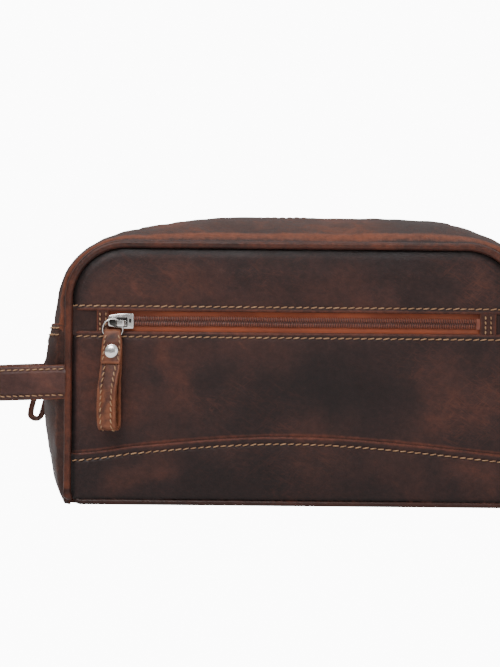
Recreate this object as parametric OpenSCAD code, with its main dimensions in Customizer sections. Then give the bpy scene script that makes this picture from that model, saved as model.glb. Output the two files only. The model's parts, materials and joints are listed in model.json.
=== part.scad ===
// Leather shaving kit bag: a panel bag with piped edges, a zipped front pocket,
// a zip that runs over the top from side to side, and a loop handle on its left end.
// Millimetres. +X to the viewer's right, -Y to the front, +Z up, origin at the centre of the base.

/* [Bag] */
// outside width over the piping
bag_w = 254; // [236:2:280]
// outside height of the piped panels
bag_h = 146; // [136:2:160]
// depth over the front and back panels
bag_d = 100; // [90:2:110]
// corner radius of the panels at the top
top_r = 33.4; // [28:0.2:38]
// how far the top swells above the piping
crown = 14.9; // [12:0.1:16]
// how far each end swells past the piping
bulge = 13.3; // [11:0.1:14]
// leather thickness
leather = 2; // [1.6:0.1:2.2]
// thickness of the piping
pipe_d = 4.4; // [3.6:0.1:4.6]

/* [Front pocket] */
// height of the zip's centre line above the base
zip_z = 101.2; // [98:0.1:104]
// width of the gap that the zip shows in
window = 12.6; // [12:0.2:13]
// depth of the pocket behind the front
pocket_d = 5.4; // [4.8:0.2:6]
// peak height of the arched band
arch_peak = 37.5; // [30:0.5:42]
// height of the arched band at its ends
arch_end = 28; // [22:0.5:30]

/* [Zips and pulls] */
// length of a slider
slider_l = 14; // [12:0.5:14]
// width of a slider
slider_w = 8.2; // [7.4:0.2:8.4]
// mean radius of a pull's ring
ring_r = 5.5; // [5.2:0.1:6]
// length of a leather pull below the ring's centre
pull_l = 55.9; // [46:0.5:58]
// width of a leather pull
pull_w = 10.5; // [9:0.5:11]

/* [Handle] */
// width of the strap
strap_w = 19; // [16:0.5:22]
// height of the strap's centre line
strap_z = 68.5; // [64:0.5:74]
// thickness of each of the strap's two layers
strap_t = 1.5; // [1.2:0.1:1.7]

/* [Hidden] */

half_w = bag_w / 2;
front_y = -bag_d / 2;
gusset_y = bag_d / 2 - 3.5;      // the gusset stops where the piping starts
seam_y = bag_d / 2 - 2;          // back face of the front panel
low_r = 6.2;                     // radius of the panels' bottom corners
arc_r = bag_h - 94.3;            // radius of the swelling top corners
arc_x = half_w - 42;             // centre of those corners
arc_z = 102;
zip_r = bag_h - 99;              // the zip's bend round a corner, a little sunk
bend_cx = half_w - zip_r;        // centre of that bend
bend_cz = 107;
dent_r = 90;                     // how flat the hollow beside the zip is
dent_tilt = atan(bulge / (bend_cz - 55));
side_top = 99;                   // top edge of the side pieces
window_edge = window / 2;
coil_gap = 0.6;                  // half the slit between the two rows of coils
coil_out = 2.65;
flap_x0 = -bend_cx + 7.5;          // ends of the lifting part of the top
flap_x1 = arc_x + 5;
fixed_gap = 0.3;
slider_x = -96.1;                // where the front slider stands when its zip is shut
slider_rise = 4.2;               // from the leather to the ring's wire under the bridge
slider_turn = 2;                 // angle of the main slider above the bend's centre
main_rise = 3.53;
wire = 0.6;                      // radius of the ring's wire
handle_x = -half_w - 11;         // where the handle turns
bend_x = handle_x - 9;
bend_r = bag_d / 2 - 1;

brown = [0.25, 0.17, 0.14];
rust = [0.55, 0.25, 0.12];
worn = [0.36, 0.18, 0.12];
cloth = [0.45, 0.40, 0.34];
nickel = [0.80, 0.80, 0.82];

// points of an arc from angle a to angle b
function arc(cx, cz, r, a, b, n = 12) =
  [for (i = [0:n]) [cx + r * cos(a + (b - a) * i / n), cz + r * sin(a + (b - a) * i / n)]];

// front view of a piped panel, inset by i
function panel(i) = concat(
  arc(half_w - low_r - 0.01, low_r + 0.01, max(low_r - i, 0.5) , -90, 0, 6),
  arc(half_w - top_r, bag_h - top_r, top_r - i, 0, 90, 16),
  arc(-half_w + top_r, bag_h - top_r, top_r - i, 90, 180, 16),
  arc(-half_w + low_r + 0.01, low_r + 0.01, max(low_r - i, 0.5), 180, 270, 6));

// height of the top at mid depth, and its two halves of points, inset by i
function top_z(x) = bag_h + crown - 7.3 * pow(x / (half_w - 36), 2);
function top_half(s, i) = concat(
  [[s * (arc_x + arc_r - 0.2 - i), side_top - 8], [s * (arc_x + arc_r - i), arc_z]],
  [for (k = [1:22]) let (a = 4 * k) [s * (arc_x + (arc_r - i) * cos(a)),
    arc_z + (arc_r - i) * sin(a)]],
  [for (k = [0:8]) let (x = (arc_x - 2) * (1 - k / 8)) [s * x, top_z(x) - i]]);
function top_outline(i) = concat(top_half(1, i),
  [for (k = [len(top_half(-1, i)) - 2:-1:0]) top_half(-1, i)[k]]);

// the zip's own line round a corner and over the top, and its outline, inset by i
function zip_top(x) = bag_h + crown - (bag_h + crown - bend_cz - zip_r) * pow(x / bend_cx, 2);
function zip_half(s, i) = concat(
  [[s * (half_w - i), side_top - 8], [s * (half_w - i), bend_cz]],
  [for (k = [1:22]) let (a = 4 * k) [s * (bend_cx + (zip_r - i) * cos(a)),
    bend_cz + (zip_r - i) * sin(a)]],
  [for (k = [0:8]) let (x = (bend_cx - 2) * (1 - k / 8)) [s * x, zip_top(x) - i]]);
function zip_outline(i) = concat(zip_half(1, i),
  [for (k = [len(zip_half(-1, i)) - 2:-1:0]) zip_half(-1, i)[k]]);

// front view of an end piece, inset by i
function side_half(s, i) = [[s * 60, i], [s * (half_w - 1 - i), i], [s * (half_w + 4 - i), 4],
  [s * (half_w + 7.6 - i), 10.7], [s * (half_w + 11.3 - i), 26.8], [s * (half_w + bulge - i), 40],
  [s * (half_w + bulge - i), 57], [s * (half_w + 12.6 - i), 78],
  [s * (half_w + 10.7 - i), side_top], [s * 60, side_top]];

function crown_z(y, i) = bag_h - i + crown * (1 - pow(y / (bag_d / 2 - 2), 2));
function bulge_x(y, i) = half_w - i + bulge * (1 - pow(y / (bag_d / 2 - 2), 2));

// a front view's shape, from y0 back to y1
module slab(y0, y1) {
  translate([0, y1, 0]) rotate([90, 0, 0]) linear_extrude(y1 - y0) children();
}

module box(x0, x1, y0, y1, z0, z1) {
  translate([x0, y0, z0]) cube([x1 - x0, y1 - y0, z1 - z0]);
}

// everything under the swelling top, seen from the side, inset by i
module under_crown(i) {
  translate([-half_w - 20, 0, 0]) rotate([90, 0, 90]) linear_extrude(bag_w + 40)
    polygon(concat([for (k = [-12:12]) let (y = k * (bag_d / 2) / 12) [y, crown_z(y, i)]],
      [[bag_d / 2, 60], [-bag_d / 2, 60]]));
}

// everything between the swelling ends, seen from above, inset by i
module between_ends(i) {
  translate([0, 0, -1]) linear_extrude(bag_h + crown + 2) polygon(concat(
    [for (k = [-10:10]) let (y = k * (bag_d / 2) / 10) [bulge_x(y, i), y]],
    [for (k = [10:-1:-10]) let (y = k * (bag_d / 2) / 10) [-bulge_x(y, i), y]]));
}

function hollow(y) = dent_r - sqrt(dent_r * dent_r - y * y);

// what the hollow down the middle of an end takes away below the zip's bend
module dent(s, i) {
  translate([s * (half_w + dent_r / cos(dent_tilt)), 0, bend_cz]) rotate([0, -s * dent_tilt, 0])
    translate([0, 0, -120]) cylinder(r = dent_r + i, h = 200, $fn = 180);
}
// what it leaves round the bend
module spool(s, i) {
  translate([s * bend_cx, 0, bend_cz]) rotate([90, 0, 0]) rotate_extrude($fn = 90)
    polygon(concat([[0, 50], [0, -50]],
      [for (k = [-10:10]) let (y = 5 * k) [zip_r + hollow(y) - i, y]]));
}
module hollowed(s, i) {
  difference() {
    box(s > 0 ? bend_cx : -half_w - 30, s > 0 ? half_w + 30 : -bend_cx, -60, 60, -1, bend_cz);
    dent(s, i);
  }
  intersection() {
    spool(s, i);
    box(s > 0 ? bend_cx : -half_w - 30, s > 0 ? half_w + 30 : -bend_cx, -60, 60, bend_cz, 200);
  }
}

// solid under the outside of the top gusset, inset by i and reaching from y0 to y1
module top_solid(i, y0, y1) {
  intersection() {
    slab(y0, y1) polygon(top_outline(i));
    under_crown(i);
    between_ends(i);
    union() {
      hollowed(-1, i);
      hollowed(1, i);
      box(-bend_cx, bend_cx, -60, 60, -1, 200);
    }
  }
}

module side_solid(s, i, y) {
  difference() {
    intersection() {
      slab(-y, y) polygon(side_half(s, i));
      between_ends(i);
    }
    dent(s, i);
  }
}
module side_shell(s) {
  difference() {
    side_solid(s, 0, gusset_y);
    side_solid(s, leather, bag_d);
    box(s > 0 ? 50 : -half_w + 3.1, s > 0 ? half_w - 3.1 : -50, -99, 99, -1, side_top + 1);
  }
}

// leather of the top gusset between two distances across the depth
module gusset_leather(y0, y1) {
  difference() {
    top_solid(0, y0, y1);
    top_solid(leather, y0 - 5, y1 + 5);
  }
}

// a strip of the zip, bent over the top, between two insets
module zip_strip(i0, i1, y0, y1) {
  difference() {
    slab(y0, y1) polygon(zip_outline(i0));
    slab(y0 - 1, y1 + 1) polygon(zip_outline(i1));
    box(-300, 300, -99, 99, -1, side_top - 6);
  }
}

module left_part() { box(-half_w - 30, flap_x0 - fixed_gap, -99, 99, side_top + 0.1, 200); }
module right_part() { box(flap_x1 + fixed_gap, half_w + 30, -99, 99, side_top + 0.1, 200); }
module top_part() { box(flap_x0, flap_x1, -99, 99, side_top + 0.1, 200); }
module left_zip() { box(-half_w - 30, flap_x0 - fixed_gap, -99, 99, side_top - 5, 200); }
module right_zip() { box(flap_x1 + fixed_gap, half_w + 30, -99, 99, side_top - 5, 200); }

// ---- front ----
module front_upper_panel() color(brown) intersection() {
  slab(front_y, front_y + leather) polygon(panel(pipe_d));
  box(-half_w, half_w, -99, 99, zip_z + window_edge, bag_h);
}
module front_lower_panel() color(brown) intersection() {
  slab(front_y, front_y + leather) polygon(panel(pipe_d));
  box(-half_w, half_w, -99, 99, 0, zip_z - window_edge);
}
module front_arch_band() color(worn) intersection() {
  slab(front_y - 1.6, front_y) polygon(panel(pipe_d));
  slab(-99, 99) polygon(concat([[half_w, 0], [half_w, arch_end - 1]],
    [for (k = [12:-1:-12]) let (x = k * half_w / 12)
      [x, arch_end + (arch_peak - arch_end) * (1 - pow(k / 12, 2))]],
    [[-half_w, arch_end - 1], [-half_w, 0]]));
}
module end_strip(s) color(worn) intersection() {
  slab(front_y + 0.8, front_y + leather) polygon(panel(pipe_d));
  box(s > 0 ? 110.3 : -half_w, s > 0 ? half_w : -109.3, -99, 99,
    zip_z - window_edge, zip_z + window_edge);
}
module front_end_strip_left() end_strip(-1);
module front_end_strip_right() end_strip(1);
module front_zip_tab_left() color(worn)
  box(-109.2, -103.4, front_y, front_y + leather, zip_z - window_edge, zip_z + window_edge);
module front_zip_tab_right() color(worn)
  box(102, 110.2, front_y, front_y + leather, zip_z - window_edge, zip_z + window_edge);
module front_tape(s) color(rust)
  box(-103.2, 101.8, front_y + 2.1, front_y + 2.6, s > 0 ? zip_z + coil_gap : zip_z - 12,
    s > 0 ? zip_z + 12 : zip_z - coil_gap);
module front_zip_tape_upper() front_tape(1);
module front_zip_tape_lower() front_tape(-1);
module front_coil(s) color(worn)
  box(-103.2, 99.2, front_y + 0.4, front_y + 2.05, s > 0 ? zip_z + coil_gap : zip_z - coil_out,
    s > 0 ? zip_z + coil_out : zip_z - coil_gap);
module front_zip_coil_upper() front_coil(1);
module front_zip_coil_lower() front_coil(-1);
module front_zip_stop() color(nickel)
  box(99.4, 101.4, front_y + 0.2, front_y + 2.05, zip_z - 2.9, zip_z + 2.9);

// a flat pouch of cloth, open to the zip
module front_pocket_bag() color(cloth) difference() {
  box(-112, 112, seam_y * -1 + 0.7, seam_y * -1 + 1.8 + pocket_d, 12, 114);
  box(-111.4, 111.4, seam_y * -1 + 1.2, seam_y * -1 + 1.2 + pocket_d, 12.6, 113.4);
  box(-111.4, 111.4, seam_y * -1 - 1, seam_y * -1 + 2, zip_z - 12.5, 113.4);
}

// ---- back, edges and base ----
module back_panel() color(brown) slab(seam_y, seam_y + leather) polygon(panel(pipe_d));

module tube(len) { cylinder(r = pipe_d / 2, h = len, $fn = 48); }
module bend(r, a) {
  rotate([0, 0, a]) rotate_extrude(angle = 90, $fn = 96) translate([r, 0])
    circle(r = pipe_d / 2, $fn = 48);
}
module piping(y) color(worn) {
  r = pipe_d / 2;
  translate([0, y, 0]) rotate([90, 0, 0]) {
    translate([half_w - top_r, bag_h - top_r, 0]) bend(top_r - r, 0);
    translate([-half_w + top_r, bag_h - top_r, 0]) bend(top_r - r, 90);
    translate([-half_w + low_r, low_r, 0]) bend(low_r - r, 180);
    translate([half_w - low_r, low_r, 0]) bend(low_r - r, 270);
    for (x = [-half_w + r, half_w - r]) translate([x, low_r, 0]) rotate([-90, 0, 0])
      tube(bag_h - top_r - low_r);
    translate([-half_w + top_r, bag_h - r, 0]) rotate([0, 90, 0]) tube(bag_w - 2 * top_r);
    translate([-half_w + low_r, r, 0]) rotate([0, 90, 0]) tube(bag_w - 2 * low_r);
  }
}
module front_piping() piping(front_y + 1.2);
module back_piping() piping(-front_y - 1.2);

module seam_binding(y) color(cloth) slab(y, y + 1.2) difference() {
  polygon(panel(pipe_d));
  polygon(panel(10));
}
module front_seam_binding() seam_binding(-seam_y + 0.05);
module back_seam_binding() seam_binding(seam_y - 1.25);

module side_gusset_left() color(brown) side_shell(-1);
module side_gusset_right() color(brown) side_shell(1);
module base_gusset() color(brown) box(-half_w + 3.2, half_w - 3.2, -gusset_y, gusset_y, 0, leather);
module base_board() color([0.6, 0.5, 0.4])
  box(-half_w + 8, half_w - 8, -gusset_y + 2, gusset_y - 2, leather + 0.05, leather + 2.05);

module main_lining() color(cloth) intersection() {
  difference() {
    slab(front_y + 4 + pocket_d, gusset_y - 0.1) polygon(panel(6.4));
    slab(front_y + 4.8 + pocket_d, gusset_y - 0.9) polygon(panel(7.2));
  }
  box(-half_w, half_w, -99, 99, 0, top_r + 78);
}

// ---- zip over the top ----
module zip_gusset_left_front() color(brown) intersection() {
  gusset_leather(-gusset_y, -window_edge); left_part(); }
module zip_gusset_left_back() color(brown) intersection() {
  gusset_leather(window_edge, gusset_y); left_part(); }
module zip_gusset_right_front() color(brown) intersection() {
  gusset_leather(-gusset_y, -window_edge); right_part(); }
module zip_gusset_right_back() color(brown) intersection() {
  gusset_leather(window_edge, gusset_y); right_part(); }

module tape_half(s) color(rust)
  zip_strip(leather + 0.6, leather + 1.2, s > 0 ? coil_gap : -9, s > 0 ? 9 : -coil_gap);
module coil_half(s) color(worn)
  zip_strip(0.4, leather + 0.5, s > 0 ? coil_gap : -coil_out, s > 0 ? coil_out : -coil_gap);
module main_tape_left_front() intersection() { tape_half(-1); left_zip(); }
module main_tape_left_back() intersection() { tape_half(1); left_zip(); }
module main_tape_right_front() intersection() { tape_half(-1); right_zip(); }
module main_tape_right_back() intersection() { tape_half(1); right_zip(); }
module main_coil_left_front() intersection() { coil_half(-1); left_zip(); }
module main_coil_left_back() intersection() { coil_half(1); left_zip(); }
module main_coil_right_front() intersection() { coil_half(-1); right_zip(); }
module main_coil_right_back() intersection() { coil_half(1); right_zip(); }

// the lifting halves of the top turn about the middle of the leather beside the piping
hinge_y = bag_d / 2 - 4;
module flap_leather(s) color(brown) {
  intersection() {
    gusset_leather(s > 0 ? window_edge : -hinge_y, s > 0 ? hinge_y : -window_edge);
    top_part();
  }
  translate([flap_x0, s * hinge_y, bag_h]) rotate([0, 90, 0])
    cylinder(r = leather / 2, h = flap_x1 - flap_x0, $fn = 32);
}
module flap_lining(s) color(cloth) intersection() {
  difference() {
    top_solid(leather + 1.4, s > 0 ? 9.4 : -42, s > 0 ? 42 : -9.4);
    top_solid(leather + 2.2, -60, 60);
  }
  top_part();
}
module flap_leather_front() flap_leather(-1);
module flap_tape_front() intersection() { tape_half(-1); top_part(); }
module flap_coil_front() intersection() { coil_half(-1); top_part(); }
module flap_lining_front() flap_lining(-1);
module flap_leather_back() flap_leather(1);
module flap_tape_back() intersection() { tape_half(1); top_part(); }
module flap_coil_back() intersection() { coil_half(1); top_part(); }
module flap_lining_back() flap_lining(1);

// ---- sliders and pulls, drawn with the leather's surface at y = 0 and outside at -y ----
// the bridge stands at x = bx, z = bz and opens along x (across) or along z
module slider(back, bx, bz, across, rise) color(nickel) {
  w = slider_w / 2;
  l = slider_l / 2;
  box(-l, l, -1.4, -0.1, -w, w);
  for (s = [-1, 1]) box(-l, l, -0.2, 1.3, s > 0 ? w - 0.8 : -w, s > 0 ? w : -w + 0.8);
  box(-l + 1.5, -l + 4.5, -0.2, back + 0.1, -0.3, 0.3);
  box(-l, l, back, back + 1, -w, w);
  translate([bx, 0, bz]) rotate([0, across ? 90 : 0, 0]) {
    for (s = [-1, 1])
      box(s > 0 ? 1.9 : -2.7, s > 0 ? 2.7 : -1.9, -rise - 1.9, -1.3, -0.8, 0.8);
    box(-2.7, 2.7, -rise - 1.9, -rise - 0.9, -0.8, 0.8);
  }
}
// a ring about the origin, in the xz plane
module ring() color(nickel) rotate([90, 0, 0]) rotate_extrude($fn = 72)
  translate([ring_r, 0]) circle(r = wire, $fn = 32);
module ring_room() rotate([90, 0, 0]) rotate_extrude($fn = 72)
  translate([ring_r, 0]) circle(r = 0.95, $fn = 32);
// side view of a pull: u outwards from the ring, v down from its centre
module side_view(w) {
  rotate([90, 0, -90]) translate([0, 0, -w / 2]) linear_extrude(w) children();
}
leg = 2.6;
loop_d = 9.4;
function loop_out(b) = concat([[b, -7.5], [b, -pull_l + 4.7]],
  arc(b + 4.7, -pull_l + 4.7, 4.7, 180, 360, 14),
  [[b + loop_d, -38], [b + 2 * leg, -19], [b + 2 * leg, -7.5]]);
function loop_in(b) = concat([[b + leg, -21.5], [b + leg, -pull_l + 4.7]],
  arc(b + 4.7, -pull_l + 4.7, 4.7 - leg, 180, 360, 10), [[b + loop_d - leg, -38.5]]);
// how far below the ring's centre a pull's rivet is
rivet_v = 12.1;
module pull_strip(b) color(worn) difference() {
  side_view(pull_w) union() {
    translate([-2.2, -8.2]) square([4.4, 8]);
    polygon(concat(loop_out(b)));
  }
  side_view(pull_w + 1) {
    translate([-0.95, -6.5]) square([1.9, 5.9]);
    polygon(loop_in(b));
  }
  ring_room();
  translate([0, 20, -rivet_v]) rotate([90, 0, 0]) cylinder(r = 1.3, h = 40, $fn = 32);
}
module pull_flap(b) color(worn) difference() {
  translate([-pull_w / 2, -b - 2 * leg - 1.35, -18.7]) cube([pull_w, 1.3, 15.7]);
  translate([0, 0, -rivet_v]) rotate([90, 0, 0]) cylinder(r = 1.3, h = 40, $fn = 32);
}
module pull_rivet(b) color(nickel) {
  face = b + 2 * leg + 1.4;
  translate([0, -b - 0.3, -rivet_v]) rotate([90, 0, 0]) cylinder(r = 1.2, h = face - b + 0.3, $fn = 32);
  translate([0, -face, -rivet_v]) rotate([90, 0, 0]) cylinder(r = 3.6, h = 0.5, $fn = 48);
  translate([0, -face - 0.5, -rivet_v]) rotate([90, 0, 0]) difference() {
    translate([0, 0, -5.2]) sphere(r = 6.2, $fn = 64);
    translate([0, 0, -20]) cube([40, 40, 40], center = true);
  }
}

ring_x = slider_x - 4.3;
ring_z = zip_z - 4.4;
pull_set = -2.6;                 // how far a pull's back layer stands off its ring
module at_front() { translate([ring_x, front_y - slider_rise, ring_z]) children(); }
module front_slider_body() translate([slider_x, front_y, zip_z])
  slider(2.9, -4.3 + ring_r * cos(35), -4.4 + ring_r * sin(35), false, slider_rise);
module front_ring() at_front() ring();
module front_pull_strip() at_front() pull_strip(pull_set);
module front_pull_flap() at_front() pull_flap(pull_set);
module front_pull_rivet() at_front() pull_rivet(pull_set);

// the main ring's wire under the bridge; ring and pull lean in the hollow of the end
wire_x = -bend_cx - (zip_r + main_rise) * cos(slider_turn) - 2 * sin(slider_turn);
wire_z = bend_cz + (zip_r + main_rise) * sin(slider_turn) - 2 * cos(slider_turn);
module at_side() {
  translate([wire_x, 0, wire_z]) rotate([0, dent_tilt, 0]) translate([0, 0, -ring_r])
    rotate([0, 0, -90]) children();
}
module main_slider_body() translate([-bend_cx, 0, bend_cz]) rotate([0, slider_turn, 0])
  translate([-zip_r, 0, 0]) rotate([-90, -90, 0]) slider(4.1, -2, 0, false, main_rise);
module main_ring() at_side() ring();
module main_pull_strip() at_side() pull_strip(pull_set);
module main_pull_flap() at_side() pull_flap(pull_set);
module main_pull_rivet() at_side() pull_rivet(pull_set);

// ---- handle ----
// a layer of the strap between two distances from its middle line
module strap_layer(r0, r1) {
  z0 = strap_z - strap_w / 2;
  difference() {
    translate([bend_x, 0, z0]) cylinder(r = bend_r + r1, h = strap_w, $fn = 128);
    translate([bend_x, 0, z0 - 1]) cylinder(r = bend_r + r0, h = strap_w + 2, $fn = 128);
    box(bend_x, 0, -99, 99, 0, 200);
  }
  for (s = [-1, 1]) {
    y0 = s > 0 ? bend_r + r0 : -bend_r - r1;
    box(bend_x, handle_x, y0, y0 + r1 - r0, z0, z0 + strap_w);
    translate([handle_x, y0 + r1 - r0, strap_z]) rotate([90, 0, 0])
      cylinder(r = strap_w / 2, h = r1 - r0, $fn = 96);
  }
}
module handle_outer() color(brown) strap_layer(0.02, strap_t);
module handle_lining() color(worn) strap_layer(-strap_t, 0);
module handle_root(s) color(brown) difference() {
  box(-half_w - 1.1, -half_w + 0.5, s > 0 ? bend_r - strap_t : -bend_r - strap_t,
    s > 0 ? bend_r + strap_t : -bend_r + strap_t, strap_z - strap_w / 2, strap_z + strap_w / 2);
  translate([-half_w + pipe_d / 2, s * (bag_d / 2 - 1.2), 0])
    cylinder(r = pipe_d / 2 + 0.05, h = 150, $fn = 48);
}
module handle_root_front() handle_root(-1);
module handle_root_back() handle_root(1);

front_upper_panel();
front_lower_panel();
front_arch_band();
front_end_strip_left();
front_end_strip_right();
front_zip_tab_left();
front_zip_tab_right();
front_zip_tape_upper();
front_zip_tape_lower();
front_zip_coil_upper();
front_zip_coil_lower();
front_zip_stop();
front_pocket_bag();
back_panel();
front_piping();
back_piping();
front_seam_binding();
back_seam_binding();
side_gusset_left();
side_gusset_right();
base_gusset();
base_board();
main_lining();
zip_gusset_left_front();
zip_gusset_left_back();
zip_gusset_right_front();
zip_gusset_right_back();
main_tape_left_front();
main_tape_left_back();
main_tape_right_front();
main_tape_right_back();
main_coil_left_front();
main_coil_left_back();
main_coil_right_front();
main_coil_right_back();
handle_root_front();
handle_root_back();
flap_leather_front();
flap_tape_front();
flap_coil_front();
flap_lining_front();
flap_leather_back();
flap_tape_back();
flap_coil_back();
flap_lining_back();
front_slider_body();
front_ring();
front_pull_strip();
front_pull_flap();
front_pull_rivet();
main_slider_body();
main_ring();
main_pull_strip();
main_pull_flap();
main_pull_rivet();
handle_outer();
handle_lining();
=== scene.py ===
"""Looks of the leather shaving kit bag. The helpers work in millimetres, and meshes are stored in metres."""
import json
import math

import bmesh
import bpy
import numpy as np
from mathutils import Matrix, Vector


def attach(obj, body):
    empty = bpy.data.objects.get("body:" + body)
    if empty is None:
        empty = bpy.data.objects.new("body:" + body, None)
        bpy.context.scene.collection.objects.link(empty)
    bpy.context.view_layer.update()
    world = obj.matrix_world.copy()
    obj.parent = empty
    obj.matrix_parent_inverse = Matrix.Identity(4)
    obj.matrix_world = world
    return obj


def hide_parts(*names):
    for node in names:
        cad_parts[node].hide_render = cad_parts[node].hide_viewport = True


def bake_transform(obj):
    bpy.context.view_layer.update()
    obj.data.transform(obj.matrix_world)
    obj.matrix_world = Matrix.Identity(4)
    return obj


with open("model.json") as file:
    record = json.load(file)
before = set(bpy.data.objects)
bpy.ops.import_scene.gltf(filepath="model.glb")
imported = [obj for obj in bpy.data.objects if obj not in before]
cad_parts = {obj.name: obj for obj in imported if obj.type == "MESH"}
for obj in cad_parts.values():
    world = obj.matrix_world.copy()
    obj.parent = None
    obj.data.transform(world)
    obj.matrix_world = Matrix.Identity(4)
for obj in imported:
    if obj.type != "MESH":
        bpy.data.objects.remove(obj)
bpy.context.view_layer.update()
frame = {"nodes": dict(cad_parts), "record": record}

RNG = np.random.default_rng(7)
MM = 0.001

# the panels: half width, height to the top of the piping, depth of a seam, corner radii, radius of the piping
HALF_W, HIGH, SEAM_Y, TOP_R, FOOT_R, PIPE_R = 127.0, 146.0, 48.8, 33.4, 6.2, 2.2
# how far the panels' edges lie inside the outline, and where their faces lie
PANEL_IN, FACE_Y = 3.3, 50.0
# the gusset's swell over the top and at the ends, the arc that joins them, and the top's fall from its middle
CROWN, BULGE, TOP_FALL, TOP_HALF = 14.9, 13.3, 7.3, 91.0
ARC_X, ARC_Z, ARC_R = 85.0, 102.0, 51.7
# the main zip's bend at an end, and the slope of its line below
BEND_X, BEND_Z, BEND_R = 80.0, 107.0, 47.0
DENT_SLOPE = BULGE / 52.0
# the front zip: its height, and the edges of the window in the leather
ZIP_Z, WINDOW = 101.2, 6.3
EDGE_UP, EDGE_LOW = ZIP_Z + WINDOW, ZIP_Z - WINDOW
# the gusset: its edge beside the zip, the stitches in from it, its edge at the seam, and the end pieces' top
EDGE_Y, STITCH_IN, GUSSET_Y, SIDE_TOP = WINDOW + 0.1, 2.2, 47.6, 99.0
# the gusset's halves run this far past the middle of the top
PAST_MIDDLE = 7.0
# one stitch to the next in the long rows
PITCH = 4.12
# welded points, and how far a leather edge bows out, as a part of its thickness
WELD, EDGE_BOW = 0.02, 0.35


# ---------------------------------------------------------------- numbers and points
def waves(seed, scale, n=14):
    """A smooth random function of points (…, 3): bumps about scale mm wide, values near -1 to 1."""
    g = np.random.default_rng(seed)
    k = g.normal(size=(n, 3))
    k *= (2 * math.pi / scale / np.linalg.norm(k, axis=1) * g.uniform(0.6, 1.5, n))[:, None]
    ph = g.uniform(0, 2 * math.pi, n)
    return lambda p: np.sin(p @ k.T + ph).sum(-1) * (1.0 / math.sqrt(n / 2)) * 0.6


def smin(a, b, k):
    """The smaller of a and b, rounded where they meet."""
    return -k * np.logaddexp(-a / k, -b / k)


def step(a, b, x):
    """0 at a, 1 at b, and smooth between."""
    t = np.clip((x - a) / (b - a), 0, 1)
    return t * t * (3 - 2 * t)


def bell(x, width=1.0):
    """1 where x is 0, falling away on both sides."""
    return np.exp(-((x / width) ** 2))


def unit(v):
    return v / np.maximum(np.linalg.norm(v, axis=-1, keepdims=True), 1e-9)


def xyz(*parts):
    """Coordinates put together as points."""
    return np.stack(np.broadcast_arrays(*parts), -1)


def mesh_of(a, b):
    return np.meshgrid(a, b, indexing="ij")


def lengths(path):
    """The distance along path at each of its points."""
    return np.r_[0, np.cumsum(np.linalg.norm(np.diff(path, axis=0), axis=1))]


def sample(path, seg, s):
    """The points of path at distances s, where seg holds its lengths."""
    return np.stack([np.interp(s, seg, path[:, i]) for i in range(path.shape[1])], 1)


def quarter(n):
    return np.linspace(0, math.pi / 2, n, endpoint=False)


def circle(n):
    return np.linspace(0, 2 * math.pi, n, endpoint=False)


def rings(c, side, up, r, n):
    """Rings of n points round each point of c, in the plane of side and up."""
    a = circle(n)[:, None]
    return c[..., None, :] + r * (np.cos(a) * side[..., None, :] + np.sin(a) * up[..., None, :])


def beside(path):
    """Unit directions to the side of a flat path."""
    t = unit(np.gradient(path, axis=0))
    return np.stack([t[:, 1], -t[:, 0]], 1)


def smooth_path(points, n, rounds=3):
    """Points spaced evenly on a line through points whose corners have been cut."""
    q = np.asarray(points, float)
    for _ in range(rounds):
        a, b = q[:-1] * 0.75 + q[1:] * 0.25, q[:-1] * 0.25 + q[1:] * 0.75
        q = np.vstack([q[:1], np.stack([a, b], 1).reshape(-1, q.shape[1]), q[-1:]])
    seg = lengths(q)
    return sample(q, seg, np.linspace(0, seg[-1], n))


def curve(pairs, width):
    """A smooth function through pairs of (place, value)."""
    at, val = np.array(pairs, float).T
    xx = np.linspace(at[0] - 20, at[-1] + 20, 800)
    k = np.hanning(int(width / (xx[1] - xx[0])))
    padded = np.pad(np.interp(xx, at, val), len(k) // 2, mode="edge")
    yy = np.convolve(padded, k / k.sum(), mode="same")[len(k) // 2:][:800]
    return lambda x: np.interp(x, xx, yy)


def rounded(corners, radius, n=6):
    """A polygon with rounded corners."""
    c = np.asarray(corners, float)
    t = np.linspace(0, 1, n)[:, None]
    out = []
    for i, b in enumerate(c):
        u, v = unit(c[i - 1] - b), unit(c[(i + 1) % len(c)] - b)
        r = radius[i] if np.ndim(radius) else radius
        out.append(b + u * r * (1 - t) ** 2 + v * r * t ** 2)
    return np.concatenate(out)


# ---------------------------------------------------------------- meshes
def normals(p):
    return unit(np.cross(np.gradient(p, axis=0), np.gradient(p, axis=1)))


def edge_push(p):
    """Outward directions in the sheet at its four edges."""
    out = np.zeros_like(p)
    for o, q in ((out, p), (out.swapaxes(0, 1), p.swapaxes(0, 1))):
        o[0] += unit(q[0] - q[1])
        o[-1] += unit(q[-1] - q[-2])
    return out


def face_out(p, away, *maps):
    """A grid, and the maps on it, turned over where needed so that its normals point along away."""
    way = 1 if (normals(p) * away).sum(-1).mean() > 0 else -1
    return (p[::way], *(m[::way] for m in maps)) if maps else p[::way]


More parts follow.
